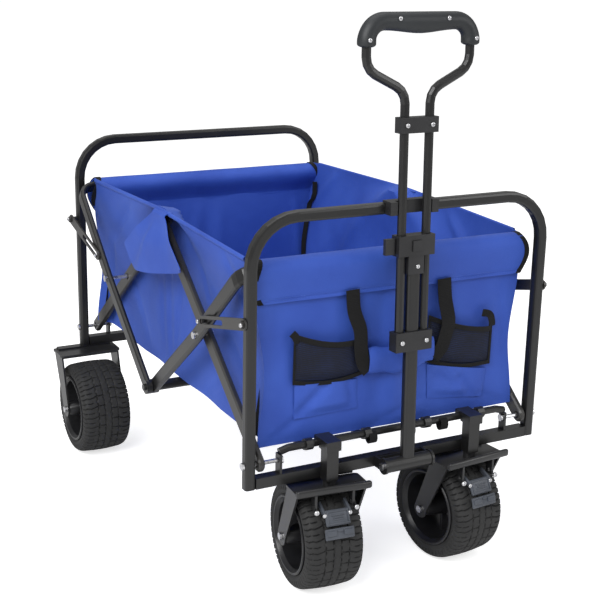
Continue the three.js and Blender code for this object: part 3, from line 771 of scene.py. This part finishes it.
# sewing: short raised stitches along a line on the cloth
def makeStitches(name, route, count, outwardWay, body):
    deselectAll()
    bpy.ops.mesh.primitive_cube_add(size=1)
    seed = bpy.context.active_object
    addModifier(seed, "BEVEL", width=0.25, segments=1)
    shape = [vertex.co.copy() for vertex in seed.data.vertices]
    faces = [tuple(face.vertices) for face in seed.data.polygons]
    bpy.data.objects.remove(seed)
    points = []
    allFaces = []
    for number in range(count):
        start = route(number / count)
        stop = route((number + stitch["share"]) / count)
        along = stop - start
        way = along.normalized()
        out = Vector(outwardWay)
        across = way.cross(out).normalized()
        middle = (start + stop) / 2
        first = len(points)
        for corner in shape:
            wide = across * corner.y * stitch["wide"]
            points.append(middle + along * corner.x + wide + out * corner.z * stitch["high"])
        allFaces += [tuple(first + index for index in face) for face in faces]
    mesh = bpy.data.meshes.new(name)
    mesh.from_pydata(points, [], allFaces)
    mesh.update()
    row = bpy.data.objects.new(name, mesh)
    bpy.context.scene.collection.objects.link(row)
    outward(row)
    finish(row, threadLook, body, "cloth")


def hemStitchRoute(end, height, reach, outSide):
    straight = hem["top"] - hem["bulge"] - hem["low"]

    def route(share):
        out = hemSection(min(max((height - hem["low"]) / straight * 0.4, 0), 0.4))[0]
        return spot(blendTo(-reach, reach, share), end * (hem["tubeY"] + out + outSide), height)

    return route


for endName, end in ends:
    for band in hemBands:
        sleeve, area = makeHem(f"hem_{band}_{endName}", end, band)
        for sideName, side in sides:
            makeHemBinding(f"hem_binding_{band}_{endName}_{sideName}", end, side, band)
    for row, height in (("low", 477.5), ("high", 481.5)):
        route = hemStitchRoute(end, height, 232, 0.6)
        makeStitches(f"hem_stitches_{endName}_{row}", route, 92, (0, end, 0), "bag")
print("hems made")


def catmull(before, start, stop, after, part):
    square = part * part
    cube = square * part
    return 0.5 * (
        2 * start
        + (stop - before) * part
        + (2 * before - 5 * start + 4 * stop - after) * square
        + (3 * start - before - 3 * stop + after) * cube
    )


# the side rims: a narrow rolled edge
def makeRim(name, side):
    def place(along, around):
        y = blendTo(-330 * mm, 330 * mm, along)
        height = rimHeight(y)
        angle = 2 * math.pi * around
        reach = sideReach(y, height) + 0.8 * mm
        radius = 2.4 * mm
        return Vector((
            side * (reach + radius * math.cos(angle)),
            midY + y,
            height - 2 * mm + radius * 1.6 * math.sin(angle),
        ))

    rim = gridPiece(name, 110, 10, place, closed=True)
    outward(rim)
    smooth(rim, 70)
    finish(rim, blueCloth, "bag", "cloth")


# the side flaps over the arms' crossing, with places as (along from the middle, height)
flap = {
    "top": ((-40, 541.5), (12, 541.5)),
    "lowEdge": (
        (-150, 484), (-131, 476), (-118, 466), (-63, 452), (0, 438),
        (44, 431), (86, 428), (110, 440), (124, 464), (128, 480),
    ),
    "reach": 251.5,
    "over": 15,
    "flare": 6,
    "fold": 5.5,
    "roll": 6,
    "rollShare": 0.08,  # share of the height that turns over the edge
}


def flapLowEdge(share):
    points = [Vector((y, 0, z)) for y, z in flap["lowEdge"]]
    spans = len(points) - 3
    number = min(int(share * spans), spans - 1)
    return catmull(*points[number:number + 4], share * spans - number)


def makeFlap(name, side):
    def place(along, down):
        start = Vector((blendTo(flap["top"][0][0], flap["top"][1][0], along), 0, flap["top"][0][1]))
        end = flapLowEdge(along)
        turn = min(down / flap["rollShare"], 1) * math.pi / 2
        hanging = max(down - flap["rollShare"], 0)
        at = start.lerp(end, hanging / (1 - flap["rollShare"]))
        out = flap["reach"] - flap["over"] * (1 - math.sin(turn))
        rise = flap["roll"] * math.cos(turn)
        fall = smoothStep(hanging / 0.5)
        pleat = 0.5 + 0.5 * math.cos(2 * math.pi * (1.7 * along + 0.15))
        narrow = math.exp(-(((along - 0.62) / 0.07) ** 2))
        fold = flap["fold"] * (pleat + 0.6 * narrow) * fall
        return spot(side * (out + flap["flare"] * fall + fold), at.x, at.z + rise)

    sheet = gridPiece(name, 80, 48, place)
    measureUv(sheet, 0.22, 0.11)
    outward(sheet)
    addModifier(sheet, "SOLIDIFY", thickness=1.3 * mm, offset=0)
    smooth(sheet, 60)
    finish(sheet, blueCloth, "bag", "cloth")


for sideName, side in sides:
    makeRim(f"rim_edge_{sideName}", side)
    makeFlap(f"side_flap_{sideName}", side)
print("rims and flaps made")


# pockets and the carry handle on the front panel

pocketFront = -363.5  # just in front of the end panel
netPuff = 11


# a place on a sagging edge between two corners, as (across, height)
def sagging(start, stop, sag, along):
    return Vector(start).lerp(Vector(stop), along) - Vector((0, sag * math.sin(math.pi * along)))


# corners as (across, height), clockwise from the top left, then the sag of the top and the bottom
def panelPatch(name, corners, puff, look, creases=()):
    topLeft, topRight, lowRight, lowLeft, topSag, lowSag = corners

    def place(along, up):
        top = sagging(topLeft, topRight, topSag, along)
        at = sagging(lowLeft, lowRight, lowSag, along).lerp(top, up)
        swell = puff * math.sin(math.pi * min(max(along, 0), 1)) ** 0.6 * smoothStep(up * 3)
        dent = creaseDepth(creases, at.x * mm, at.y * mm) / mm
        return spot(at.x, pocketFront - swell + dent, at.y)

    patch = gridPiece(name, 28, 20, place)
    width = (Vector(topRight) - Vector(topLeft)).length * mm
    height = (Vector(topLeft) - Vector(lowLeft)).length * mm
    measureUv(patch, width, height)
    addModifier(patch, "SOLIDIFY", thickness=mm, offset=-1)
    smooth(patch, 60)
    finish(patch, look, "bag", "cloth")


# a flat band along a route of (across, out, height) points, of a width, with its face to the front
def frontBand(name, points, width, waves=0.0):
    route = [Vector(point) for point in points]
    lengths = [0.0]
    for before, after in zip(route, route[1:]):
        lengths.append(lengths[-1] + (after - before).length)

    def along(share):
        target = share * lengths[-1]
        for number in range(len(route) - 1):
            if target <= lengths[number + 1] + 1e-9:
                part = (target - lengths[number]) / (lengths[number + 1] - lengths[number])
                before = route[max(number - 1, 0)]
                after = route[min(number + 2, len(route) - 1)]
                return catmull(before, route[number], route[number + 1], after, part)
        return route[-1]

    def place(share, across):
        at = along(share)
        ahead = along(min(share + 0.01, 1.0)) - along(max(share - 0.01, 0.0))
        sideways = Vector((ahead.z, 0, -ahead.x)).normalized()
        at = at + sideways * (across - 0.5) * width
        ripple = waves * math.sin(share * 14) * math.sin(across * 3)
        return spot(at.x, at.y - ripple, at.z)

    band = gridPiece(name, max(int(lengths[-1] / 3), 12), 6, place)
    finishStrip(band, lengths[-1] * mm, width * mm, 1.3, "bag")


def makePocket(sideName, net, low, lowCreases, tabAt):
    panelPatch(f"pocket_net_{sideName}", net, netPuff, pocketNet)
    panelPatch(f"pocket_low_{sideName}", low, 6, blueCloth, creases=lowCreases)
    topLeft, topRight, lowRight, lowLeft, topSag, lowSag = net
    rim = []
    foot = []
    for number in range(9):
        share = number / 8
        middleness = math.sin(math.pi * share)
        top = sagging(topLeft, topRight, topSag, share)
        bottom = sagging(lowLeft, lowRight, lowSag, share)
        rim.append((top.x, pocketFront - netPuff * middleness ** 0.6 - 1.4, top.y - 4))
        foot.append((bottom.x, pocketFront - 2.2 - 2 * middleness, bottom.y + 3))
    frontBand(f"pocket_binding_{sideName}", rim, 8)
    frontBand(f"pocket_foot_{sideName}", foot, 6)
    for edgeName, top, bottom in (("outer", topLeft, lowLeft), ("inner", topRight, lowRight)):
        edge = [(top[0], pocketFront - 2.0, top[1]), (bottom[0], pocketFront - 2.4, bottom[1])]
        middle = [(a + b) / 2 for a, b in zip(*edge)]
        frontBand(f"pocket_{edgeName}_{sideName}", [edge[0], tuple(middle), edge[1]], 4)
    frontBand(f"pocket_tab_{sideName}", tabAt, 12)


makePocket(
    "left",
    ((-176, 424), (-58, 404), (-56, 345), (-177, 345), 7, 7),
    ((-175, 344), (-66, 338), (-64, 290), (-174, 288), 0, 0),
    [((-172, 292), (-118, 342), 5.0, 9), ((-84, 340), (-72, 300), 3.0, 8)],
    [(-181, -365, 426), (-176, -367, 420), (-172, -367, 410)],
)
makePocket(
    "right",
    ((62, 424), (182, 392), (181, 328), (60, 347), 5, 7),
    ((62, 343), (178, 320), (172, 272), (66, 285), 0, 0),
    [((70, 325), (122, 300), 4.0, 10), ((120, 318), (150, 282), 3.5, 8)],
    [(162, -367, 417), (174, -370, 414), (181, -368, 402), (183, -366, 392)],
)

frontBand("carry_strap_left", [
    (-80, -366.5, 482), (-78, -369, 450), (-70, -375.5, 420),
    (-68, -376.5, 390), (-63, -375.5, 368), (-52, -374.5, 352),
], 23, waves=0.6)
frontBand("carry_strap_right", [
    (85, -366.5, 482), (87, -369, 450), (91, -375.5, 415),
    (86, -376.5, 392), (80, -375.5, 372), (66, -374.5, 358),
], 25, waves=0.6)


# the cloth wrap round the carry handle's middle
def makeWrap():
    def place(along, around):
        x = blendTo(-53, 66, along)
        angle = 2 * math.pi * around
        middle = 364 + 3.5 * math.cos(math.pi * along * 2) + 4 * along
        high = 20 + 2 * math.sin(math.pi * along) + 1.2 * math.sin(along * 19)
        deep = 7.0 + 1.2 * math.sin(along * 11 + 1)
        y = -370.6 + deep * math.cos(angle) - 1.2 * math.sin(along * math.pi)
        return spot(x, y, middle + high * math.sin(angle))

    wrap = gridPiece("carry_wrap", 40, 24, place, closed=True)
    measureUv(wrap, 0.12, 0.09)
    outward(wrap)
    smooth(wrap, 60)
    finish(wrap, blueCloth, "bag", "cloth")


makeWrap()
print("pockets and carry handle made")


# tapes down the inside of the bag's corners
def makeCornerTape(name, side, end):
    def place(along, across):
        z = blendTo(262, 503, along)
        y = end * (hem["tubeY"] - 6 - 16 * smoothStep((z - 452) / 20))
        x = side * (endReach(z * mm) / mm - 5 - 7 * across)
        return spot(x, y - end * 7 * (1 - across), z)

    finishStrip(gridPiece(name, 40, 4, place), 0.27, 0.01, 1.2, "bag")


for sideName, side in sides:
    for endName, end in ends:
        makeCornerTape(f"corner_tape_{endName}_{sideName}", side, end)


# padded floor, in two halves that hinge up
def makeFloorPad(node, body):
    low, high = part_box(node)

    def place(along, across):
        x = blendTo(low.x, high.x, along)
        y = blendTo(low.y, high.y, across)
        edge = min(along, 1 - along, across, 1 - across)
        crown = smoothStep(edge / 0.06)
        seam = math.exp(-(((along - 0.5) / 0.006) ** 2)) + math.exp(-(((across - 0.5) / 0.008) ** 2))
        lift = 1.6 * mm + (high.z - low.z - 2 * mm) * crown - 1.6 * mm * seam * crown
        return Vector((x, y, low.z + lift))

    pad = gridPiece(node + "_cloth", 80, 60, place)
    measureUv(pad, high.x - low.x, high.y - low.y)
    addModifier(pad, "SOLIDIFY", thickness=1.5 * mm, offset=-1)
    smooth(pad, 60)
    finish(pad, innerCloth, body, "cloth")
    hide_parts(node)
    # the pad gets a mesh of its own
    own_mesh(pad)


makeFloorPad("floor_pad_front", "floor_front")
makeFloorPad("floor_pad_rear", "floor_rear")
print("floor made")


# the CAD pieces' own surfaces
def dress(node, look):
    piece = bpy.data.objects[node]
    for place in range(len(piece.material_slots)):
        piece.material_slots[place].material = look


plainPieces = (
    (framePaint, (
        "front_hoop", "rear_hoop", "front_bottom_bar", "rear_bottom_bar", "front_top_frame",
        "rear_top_frame", "centre_cross_tube", "floor_frame_front", "floor_frame_rear",
        "handle_pivot_bracket", "handle_tube", "handle_loop",
    )),
    (blackPlastic, (
        "handle_clip", "handle_collar", "slider_bracket", "lock_block", "lock_button", "lock_lever",
    )),
    (gripRubber, ("handle_grip",)),
    (zinc, ("handle_pivot_bolt",)),
)
pairedPieces = (
    (armPaint, ("arm_front", "arm_rear", "link_front", "link_rear")),
    (framePaint, ("caster_post",)),
    (crownPaint, ("caster_fork", "rear_fork")),
    (zinc, (
        "pivot_bolt_front", "pivot_bolt_rear", "cross_bolt_front", "cross_bolt_rear",
        "axle_front", "axle_rear",
    )),
    (pedalPlastic, ("brake_pedal",)),
)
for look, nodes in plainPieces:
    for node in nodes:
        dress(node, look)
for look, nodes in pairedPieces:
    for node in nodes:
        dress(f"{node}_left", look)
        dress(f"{node}_right", look)


# tyres: a moulded tread round a fat tyre
tread = {
    "radius": 88.6,
    "half": 46.0,
    "shoulder": 15.0,
    "bead": 63.2,
    "groove": 2.6,
    "blocks": 28,
    "columns": 560,
    "rows": 84,
    "ribHalf": 6.4,
    "columnEdge": 19.5,
    "drop": 0.62,  # how far the shoulder falls and how long its curve is, as shares of its width
    "curve": 1.36,
    "crown": 1.6,  # the middle stands higher than the shoulders
}


# how far outside a line's half width a place is, as 1 inside the groove and 0 outside
def cut(distance, half, soft=0.45):
    return 1 - smoothStep((abs(distance) - half + soft) / (2 * soft))


def treadDepth(x, arc, pitch):
    away = abs(x)
    side = 1 if x > 0 else -1
    phase = arc / pitch + (0.37 if side > 0 else 0.0)
    beat = phase - math.floor(phase) - 0.5
    wander = 0.8 * math.sin(2 * math.pi * arc / pitch)
    rib = tread["ribHalf"] + wander
    groove = cut(away - rib, 0.75)
    weaving = 0.7 * math.sin(2 * math.pi * (phase + 0.3))
    groove = max(groove, cut(away - tread["columnEdge"] - weaving, 0.7))
    if rib < away < tread["columnEdge"]:
        lean = 0.12 * (away - 12)
        groove = max(groove, cut((beat + 0.02 * lean) * pitch, 0.75))
    if away >= tread["columnEdge"] - 0.5:
        swing = 4.2 * math.sin((away - tread["columnEdge"]) / 26 * math.pi * 0.9)
        ahead = (beat * pitch + swing + pitch) % pitch
        groove = max(groove, cut(min(ahead, pitch - ahead), 0.85))
        if away > 28.5:
            short = (ahead + pitch / 2) % pitch
            groove = max(groove, cut(min(short, pitch - short), 0.8))
    if rib - 3.2 < away < rib - 2:
        nick = (arc / pitch * 2) % 1
        groove = max(groove, 0.5 * cut((nick - 0.5) * pitch / 2, 0.35))
    return groove


# out from the axle and along it, as share goes from one bead over the tread to the other
def tyreSection(share):
    flat = tread["half"] - tread["shoulder"]
    drop = tread["shoulder"] * tread["drop"]
    wall = tread["radius"] - drop - tread["bead"]
    curve = tread["shoulder"] * tread["curve"]
    length = wall + curve + flat
    reach = (share * 2 - 1) * length
    side = 1 if reach > 0 else -1
    reach = abs(reach)
    if reach < flat:
        return side * reach, tread["radius"] - tread["crown"] * (reach / flat) ** 2
    top = tread["radius"] - tread["crown"]
    if reach < flat + curve:
        angle = (reach - flat) / curve * math.pi / 2
        return side * (flat + tread["shoulder"] * math.sin(angle)), top - drop * (1 - math.cos(angle))
    down = (reach - flat - curve) / wall
    bulge = math.sin(math.pi * down)
    ring = 0.5 * cut(down - 0.55, 0.06, 0.03)
    x = side * (tread["half"] + 0.9 * bulge - 2.2 * down ** 3 + ring)
    return x, top - drop - (top - drop - tread["bead"]) * down


def makeTyre(name):
    pitch = 2 * math.pi * tread["radius"] / tread["blocks"]

    def place(around, across):
        x, radius = tyreSection(across)
        arc = around * 2 * math.pi * tread["radius"]
        ahead = tyreSection(min(across + 0.004, 1))
        behind = tyreSection(max(across - 0.004, 0))
        along, up = ahead[0] - behind[0], ahead[1] - behind[1]
        size = math.hypot(along, up) or 1
        spread = abs(across * 2 - 1)
        fade = 1 - smoothStep((spread - 0.80) / 0.07)
        distance = abs(x) if spread < 0.55 else tread["half"] * 0.55 + (spread - 0.55) * 68
        depth = 0.0
        if fade > 0:
            depth = treadDepth(math.copysign(distance, x), arc, pitch) * tread["groove"] * fade
        x += up / size * depth
        radius -= along / size * depth
        angle = 2 * math.pi * around
        return Vector((x * mm, radius * mm * math.sin(angle), radius * mm * math.cos(angle)))

    tyre = gridPiece(name, tread["columns"], tread["rows"], place, closed=True)
    inEditMode(tyre, bpy.ops.mesh.select_non_manifold, bpy.ops.mesh.bridge_edge_loops, select="DESELECT")
    outward(tyre)
    smooth(tyre, 38)
    return tyre


# rims: a deep dish with spokes, a hub and a rolled lip
rimForm = {"outer": 62.4, "half": 46.4, "dish": 53.5, "spokes": 8, "hub": 15.5}


def lathe(name, profile, steps):
    def place(around, along):
        number = min(int(along * (len(profile) - 1)), len(profile) - 2)
        part = along * (len(profile) - 1) - number
        x = blendTo(profile[number][0], profile[number + 1][0], part)
        radius = blendTo(profile[number][1], profile[number + 1][1], part)
        angle = 2 * math.pi * around
        return Vector((x * mm, radius * mm * math.sin(angle), radius * mm * math.cos(angle)))

    piece = gridPiece(name, steps, len(profile) - 1, place, closed=True)
    outward(piece)
    return piece


def makeRimPiece(name):
    outer, half, dish, hub = rimForm["outer"], rimForm["half"], rimForm["dish"], rimForm["hub"]
    barrel = lathe(name, [
        (-half + 6, outer), (-half, outer + 0.9), (-half - 1.5, outer - 0.8), (-half - 1.2, outer - 3.2),
        (-half + 1, outer - 4.4), (-half + 5, dish + 1), (-half + 16, dish), (-13, dish - 4),
        (-10, dish - 5),
        (10, dish - 5), (13, dish - 4), (half - 16, dish), (half - 5, dish + 1), (half - 1, outer - 4.4),
        (half + 1.2, outer - 3.2), (half + 1.5, outer - 0.8), (half, outer + 0.9), (half - 6, outer),
        (-half + 6, outer),
    ], 96)
    parts = [barrel]
    core = lathe(name + "_core", [
        (-53.5, 6), (-53.5, 11), (-50, 12.5), (-30, hub), (-14, hub + 3), (14, hub + 3),
        (30, hub), (50, 12.5), (53.5, 11), (53.5, 6), (-53.5, 6),
    ], 48)
    parts.append(core)
    for number in range(rimForm["spokes"]):
        deselectAll()
        bpy.ops.mesh.primitive_cube_add(size=1)
        spoke = bpy.context.active_object
        spoke.name = f"{name}_spoke_{number}"
        spoke.scale = (24 * mm, 6.4 * mm, (dish - hub + 4) * mm)
        applyPlace(spoke)
        addModifier(spoke, "BEVEL", width=1.6 * mm, segments=2)
        spoke.location = (0, 0, (dish + hub - 3) / 2 * mm)
        applyPlace(spoke)
        spoke.rotation_euler = (2 * math.pi * number / rimForm["spokes"], 0, 0)
        applyPlace(spoke)
        parts.append(spoke)
    whole = joinPieces(parts, name)
    smooth(whole, 34)
    return whole


wheelYaw = {
    "front_left": casterYaw["left"],
    "front_right": casterYaw["right"],
    "rear_left": 0,
    "rear_right": 0,
}
wheelParts = ("tyre", tyreRubber, "tread"), ("rim", rimPlastic, "black_plastic")
tyreSeed = makeTyre("tyre_seed")
rimSeed = makeRimPiece("rim_seed")
for label, yaw in wheelYaw.items():
    low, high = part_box(f"tyre_{label}")
    centre = (low + high) / 2
    for seed, (kind, look, slotName) in zip((tyreSeed, rimSeed), wheelParts):
        piece = copyOf(seed, f"{kind}_{label}_shape")
        piece.rotation_euler = (0, 0, math.radians(yaw))
        piece.location = centre
        applyPlace(piece)
        finish(piece, look, f"wheel_{label}", slotName)
        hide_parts(f"{kind}_{label}")
bpy.data.objects.remove(tyreSeed)
bpy.data.objects.remove(rimSeed)
print("wheels made")


# bolt heads: a low pan with a socket
boltHead = lathe("bolt_seed", [
    (-1.2, 0), (-1.2, 3.3), (0, 3.6), (1.3, 3.6), (2.1, 3.1), (2.5, 2.3), (2.5, 1.6), (1.3, 1.5), (1.3, 0),
], 20)
smooth(boltHead, 35)


def boltRow(name, body, spots):
    parts = []
    for number, (place, way, size) in enumerate(spots):
        bolt = copyOf(boltHead, f"{name}_{number}")
        bolt.scale = (size, size, size)
        applyPlace(bolt)
        bolt.rotation_euler = Vector(way).to_track_quat("X", "Z").to_euler()
        bolt.location = place
        applyPlace(bolt)
        parts.append(bolt)
    finish(joinPieces(parts, name), zinc, body, "zinc")


# the middle of a flat link's end, low or high along y
def linkEnd(node, highEnd):
    low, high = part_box(node)
    limit = high.y if highEnd else low.y
    piece = bpy.data.objects[node]
    places = [piece.matrix_world @ vertex.co for vertex in piece.data.vertices]
    heights = [at.z for at in places if abs(at.y - limit) < 11 * mm]
    inset = -6.5 * mm if highEnd else 6.5 * mm
    return limit + inset, (min(heights) + max(heights)) / 2


# the handle's plane leans back as it rises
collarLow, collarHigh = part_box("handle_collar")
collarMiddle = (collarLow + collarHigh) / 2


def handleY(z):
    return collarMiddle.y + (z * mm - collarMiddle.z) * math.tan(math.radians(1.7))


sliderLow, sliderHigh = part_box("slider_bracket")
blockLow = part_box("lock_block")[0]
front = Vector((0, -1, 0))


# two bolts side by side on the handle's rods
def rodBolts(name, face, height, size):
    boltRow(name, "pull", [(Vector((x * mm, face - 0.2 * mm, height)), front, size) for x in (-21.5, 21.5)])


rodBolts("collar_bolts", collarLow.y, 731 * mm, 1.0)
rodBolts("slider_bolts", sliderLow.y, (sliderLow.z + sliderHigh.z) / 2, 1.05)
boltRow("lock_bolt", "handle", [(Vector((3 * mm, blockLow.y + 1.0 * mm, 521 * mm)), front, 0.95)])
for sideName, side in sides:
    for endName, end in ends:
        node = f"link_{endName}_{sideName}"
        low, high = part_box(node)
        face = low.x if side < 0 else high.x
        spots = []
        for highEnd in (False, True):
            y, z = linkEnd(node, highEnd)
            spots.append((Vector((face + side * 0.4 * mm, y, z)), (side, 0, 0), 0.95))
        boltRow(f"link_bolts_{endName}_{sideName}", f"link_{endName}", spots)
print("bolts made")


# the grip: two moulded halves round the loop's top, with a belly for the fingers
grip = {
    "half": 88,
    "bend": 28,
    "middle": 878,
    "end": 841.5,
    "top": 13.0,
    "belly": 4.6,
    "deep": 13.0,
}


def gripLine(share):
    straight = grip["half"] - grip["bend"]
    drop = grip["middle"] - grip["bend"] - grip["end"]
    arc = grip["bend"] * math.pi / 2
    reach = (share * 2 - 1) * (straight + arc + drop)
    side = 1 if reach > 0 else -1
    reach = abs(reach)
    if reach <= straight:
        return side * reach, grip["middle"], (0, 1), reach / straight
    if reach <= straight + arc:
        angle = (reach - straight) / grip["bend"]
        x = straight + grip["bend"] * math.sin(angle)
        z = grip["middle"] - grip["bend"] * (1 - math.cos(angle))
        return side * x, z, (side * math.sin(angle), math.cos(angle)), 1.0
    down = reach - straight - arc
    return side * grip["half"], grip["middle"] - grip["bend"] - down, (side, 0), 1.0


def makeGrip():
    def place(along, around):
        x, z, out, share = gripLine(along)
        angle = 2 * math.pi * around
        tip = min(along, 1 - along) * 2 * 111
        end = math.sqrt(max(0, 1 - (1 - min(tip / 5, 1)) ** 2))
        belly = grip["belly"] * (1 - smoothStep(share)) if share < 1 else 0
        up = math.cos(angle)
        rise = up * (grip["top"] + (belly if up < 0 else 0))
        flare = 1.0 + 0.05 * smoothStep(1 - abs(tip - 8) / 14)
        deep = math.sin(angle) * grip["deep"]
        seam = 0.45 * cut(up ** 2 - 1, 0.0018, 0.0015)
        scale = end * flare * (1 - seam / 12)
        return Vector((
            (x + out[0] * rise * scale) * mm,
            handleY(z) + deep * scale * mm,
            (z + out[1] * rise * scale) * mm,
        ))

    piece = gridPiece("grip_shape", 150, 48, place, closed=True)
    outward(piece)
    smooth(piece, 50)
    finish(piece, gripRubber, "pull", "grip_rubber")
    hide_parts("handle_grip")


makeGrip()
gripBolts = []
for x, z in ((-41, 882), (41, 882), (-90, 853), (90, 853)):
    gripBolts.append((Vector((x * mm, handleY(z) - 12.9 * mm, z * mm)), front, 0.9))
boltRow("grip_screws", "pull", gripBolts)
print("grip made")


# brake pedals: a ribbed pad with a rim, over a notched shoe
pedal = {
    "wide": 40,
    "long": 25,
    "thick": 6,
    "lean": -28,
    "rim": 2.2,
    "rimInset": 3.2,
    "shoeWide": 48,
    "shoeLong": 17,
    "shoeLean": -14,
    "ahead": 14.6,  # from the CAD pedal's front face, and the height
    "height": 147,
    "pinAhead": 17,
    "pinHeight": 158,
}


def softBox(name, size, place, edge=1.6, turn=(0, 0, 0)):
    deselectAll()
    bpy.ops.mesh.primitive_cube_add(size=1)
    box = bpy.context.active_object
    box.name = name
    box.scale = [value * mm for value in size]
    applyPlace(box)
    addModifier(box, "BEVEL", width=edge * mm, segments=3)
    box.rotation_euler = turn
    box.location = [value * mm for value in place]
    applyPlace(box)
    return box


def makePedal(sideName, yaw):
    node = f"brake_pedal_{sideName}"
    low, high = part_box(node)
    middle = (low.x + high.x) / 2
    name = f"pedal_{sideName}"
    parts = [softBox(name, (pedal["wide"], pedal["thick"], pedal["long"]), (0, 0, 0), 2.4)]
    rim = pedal["rim"]
    half = pedal["wide"] / 2 - pedal["rimInset"]
    rise = pedal["long"] / 2 - pedal["rimInset"]
    for number, (x, z, wide, tall) in enumerate((
        (0, rise, 2 * half, rim), (0, -rise, 2 * half, rim),
        (-half, 0, rim, 2 * rise), (half, 0, rim, 2 * rise),
        (0, 3.4, 22, 1.8), (0, 0, 16, 1.8), (0, -3.4, 22, 1.8),
    )):
        face = -pedal["thick"] / 2 - 0.3
        parts.append(softBox(f"{name}_rib_{number}", (wide, 2.4, tall), (x, face, z), 0.7))
    pad = joinPieces(parts, name)
    pad.rotation_euler = (math.radians(pedal["lean"]), 0, 0)
    applyPlace(pad)
    shoeParts = [
        softBox(f"{name}_shoe", (pedal["shoeWide"], 4, pedal["shoeLong"]), (0, 0, 0), 1.8),
        softBox(f"{name}_shoe_left", (16, 4, 8), (-14, -2.4, 1.5), 1.2),
        softBox(f"{name}_shoe_right", (16, 4, 8), (14, -2.4, 1.5), 1.2),
        softBox(f"{name}_shoe_middle", (9, 3, 4), (0, -2.4, 5), 1.0),
    ]
    shoe = joinPieces(shoeParts, name + "_shoe")
    shoe.rotation_euler = (math.radians(pedal["shoeLean"]), 0, 0)
    shoe.location = (0, -11.2 * mm, -21.5 * mm)
    applyPlace(shoe)
    parts = [pad, shoe]
    armTurn = (math.radians(24), 0, 0)
    for number, x in enumerate((-21, 21)):
        parts.append(softBox(f"{name}_arm_{number}", (4, 26, 8), (x, 12, 11), 1.2, armTurn))
    whole = joinPieces(parts, name)
    smooth(whole, 34)
    whole.rotation_euler = (0, 0, math.radians(yaw))
    whole.location = (middle, low.y + pedal["ahead"] * mm, pedal["height"] * mm)
    applyPlace(whole)
    finish(whole, pedalPlastic, f"brake_{sideName}", "pedal_plastic")
    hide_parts(node)
    spots = []
    sideways = Vector((math.cos(math.radians(yaw)), math.sin(math.radians(yaw)), 0))
    pinMiddle = Vector((middle, low.y + pedal["pinAhead"] * mm, pedal["pinHeight"] * mm))
    for side in (-1, 1):
        base = pinMiddle + sideways * side * 33 * mm
        spots.append((base, front, 1.15))
        spots.append((base - sideways * side * 12 * mm + Vector((0, -2 * mm, -6 * mm)), front, 0.95))
    boltRow(f"pedal_pins_{sideName}", f"brake_{sideName}", spots)


# the rolled front edge of a caster's crown
def makeCrownLip(sideName, yaw):
    low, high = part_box(f"caster_post_{sideName}")
    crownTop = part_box(f"caster_fork_{sideName}")[1].z
    name = f"crown_lip_{sideName}"
    roll = softBox(name, (125, 8, 12), (0, -29.5, 0), 3.6)
    backEdge = softBox(f"{name}_back", (112, 3, 8), (0, 27, 0), 1.2)
    lip = joinPieces([roll, backEdge], name)
    smooth(lip, 50)
    lip.rotation_euler = (0, 0, math.radians(yaw))
    lip.location = ((low.x + high.x) / 2, (low.y + high.y) / 2, crownTop - 7 * mm)
    applyPlace(lip)
    finish(lip, crownPaint, f"caster_{sideName}", "frame_paint")


for maker in (makePedal, makeCrownLip):
    for sideName, yaw in casterYaw.items():
        maker(sideName, yaw)


# cloth tabs that tie the bag's floor to the front rail
def makeRailTab(number, x):
    def place(along, around):
        angle = 2 * math.pi * around
        height = 246 + 9.5 * math.sin(angle)
        y = railLine + 7.6 * mm * math.cos(angle)
        return Vector(((x + blendTo(-6.5, 6.5, along)) * mm, y, height * mm))

    finishStrip(gridPiece(f"rail_tab_{number}", 6, 24, place, closed=True), 0.013, 0.05, 1.2, "floor_front")


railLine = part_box("floor_frame_front")[0].y + 5 * mm
for number, x in enumerate((-120, -48, 22, 84)):
    makeRailTab(number, x)
bpy.data.objects.remove(boltHead)
print("pedals and tabs made")


# the soft pieces each get a mesh of their own
for piece in softPieces:
    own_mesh(piece)
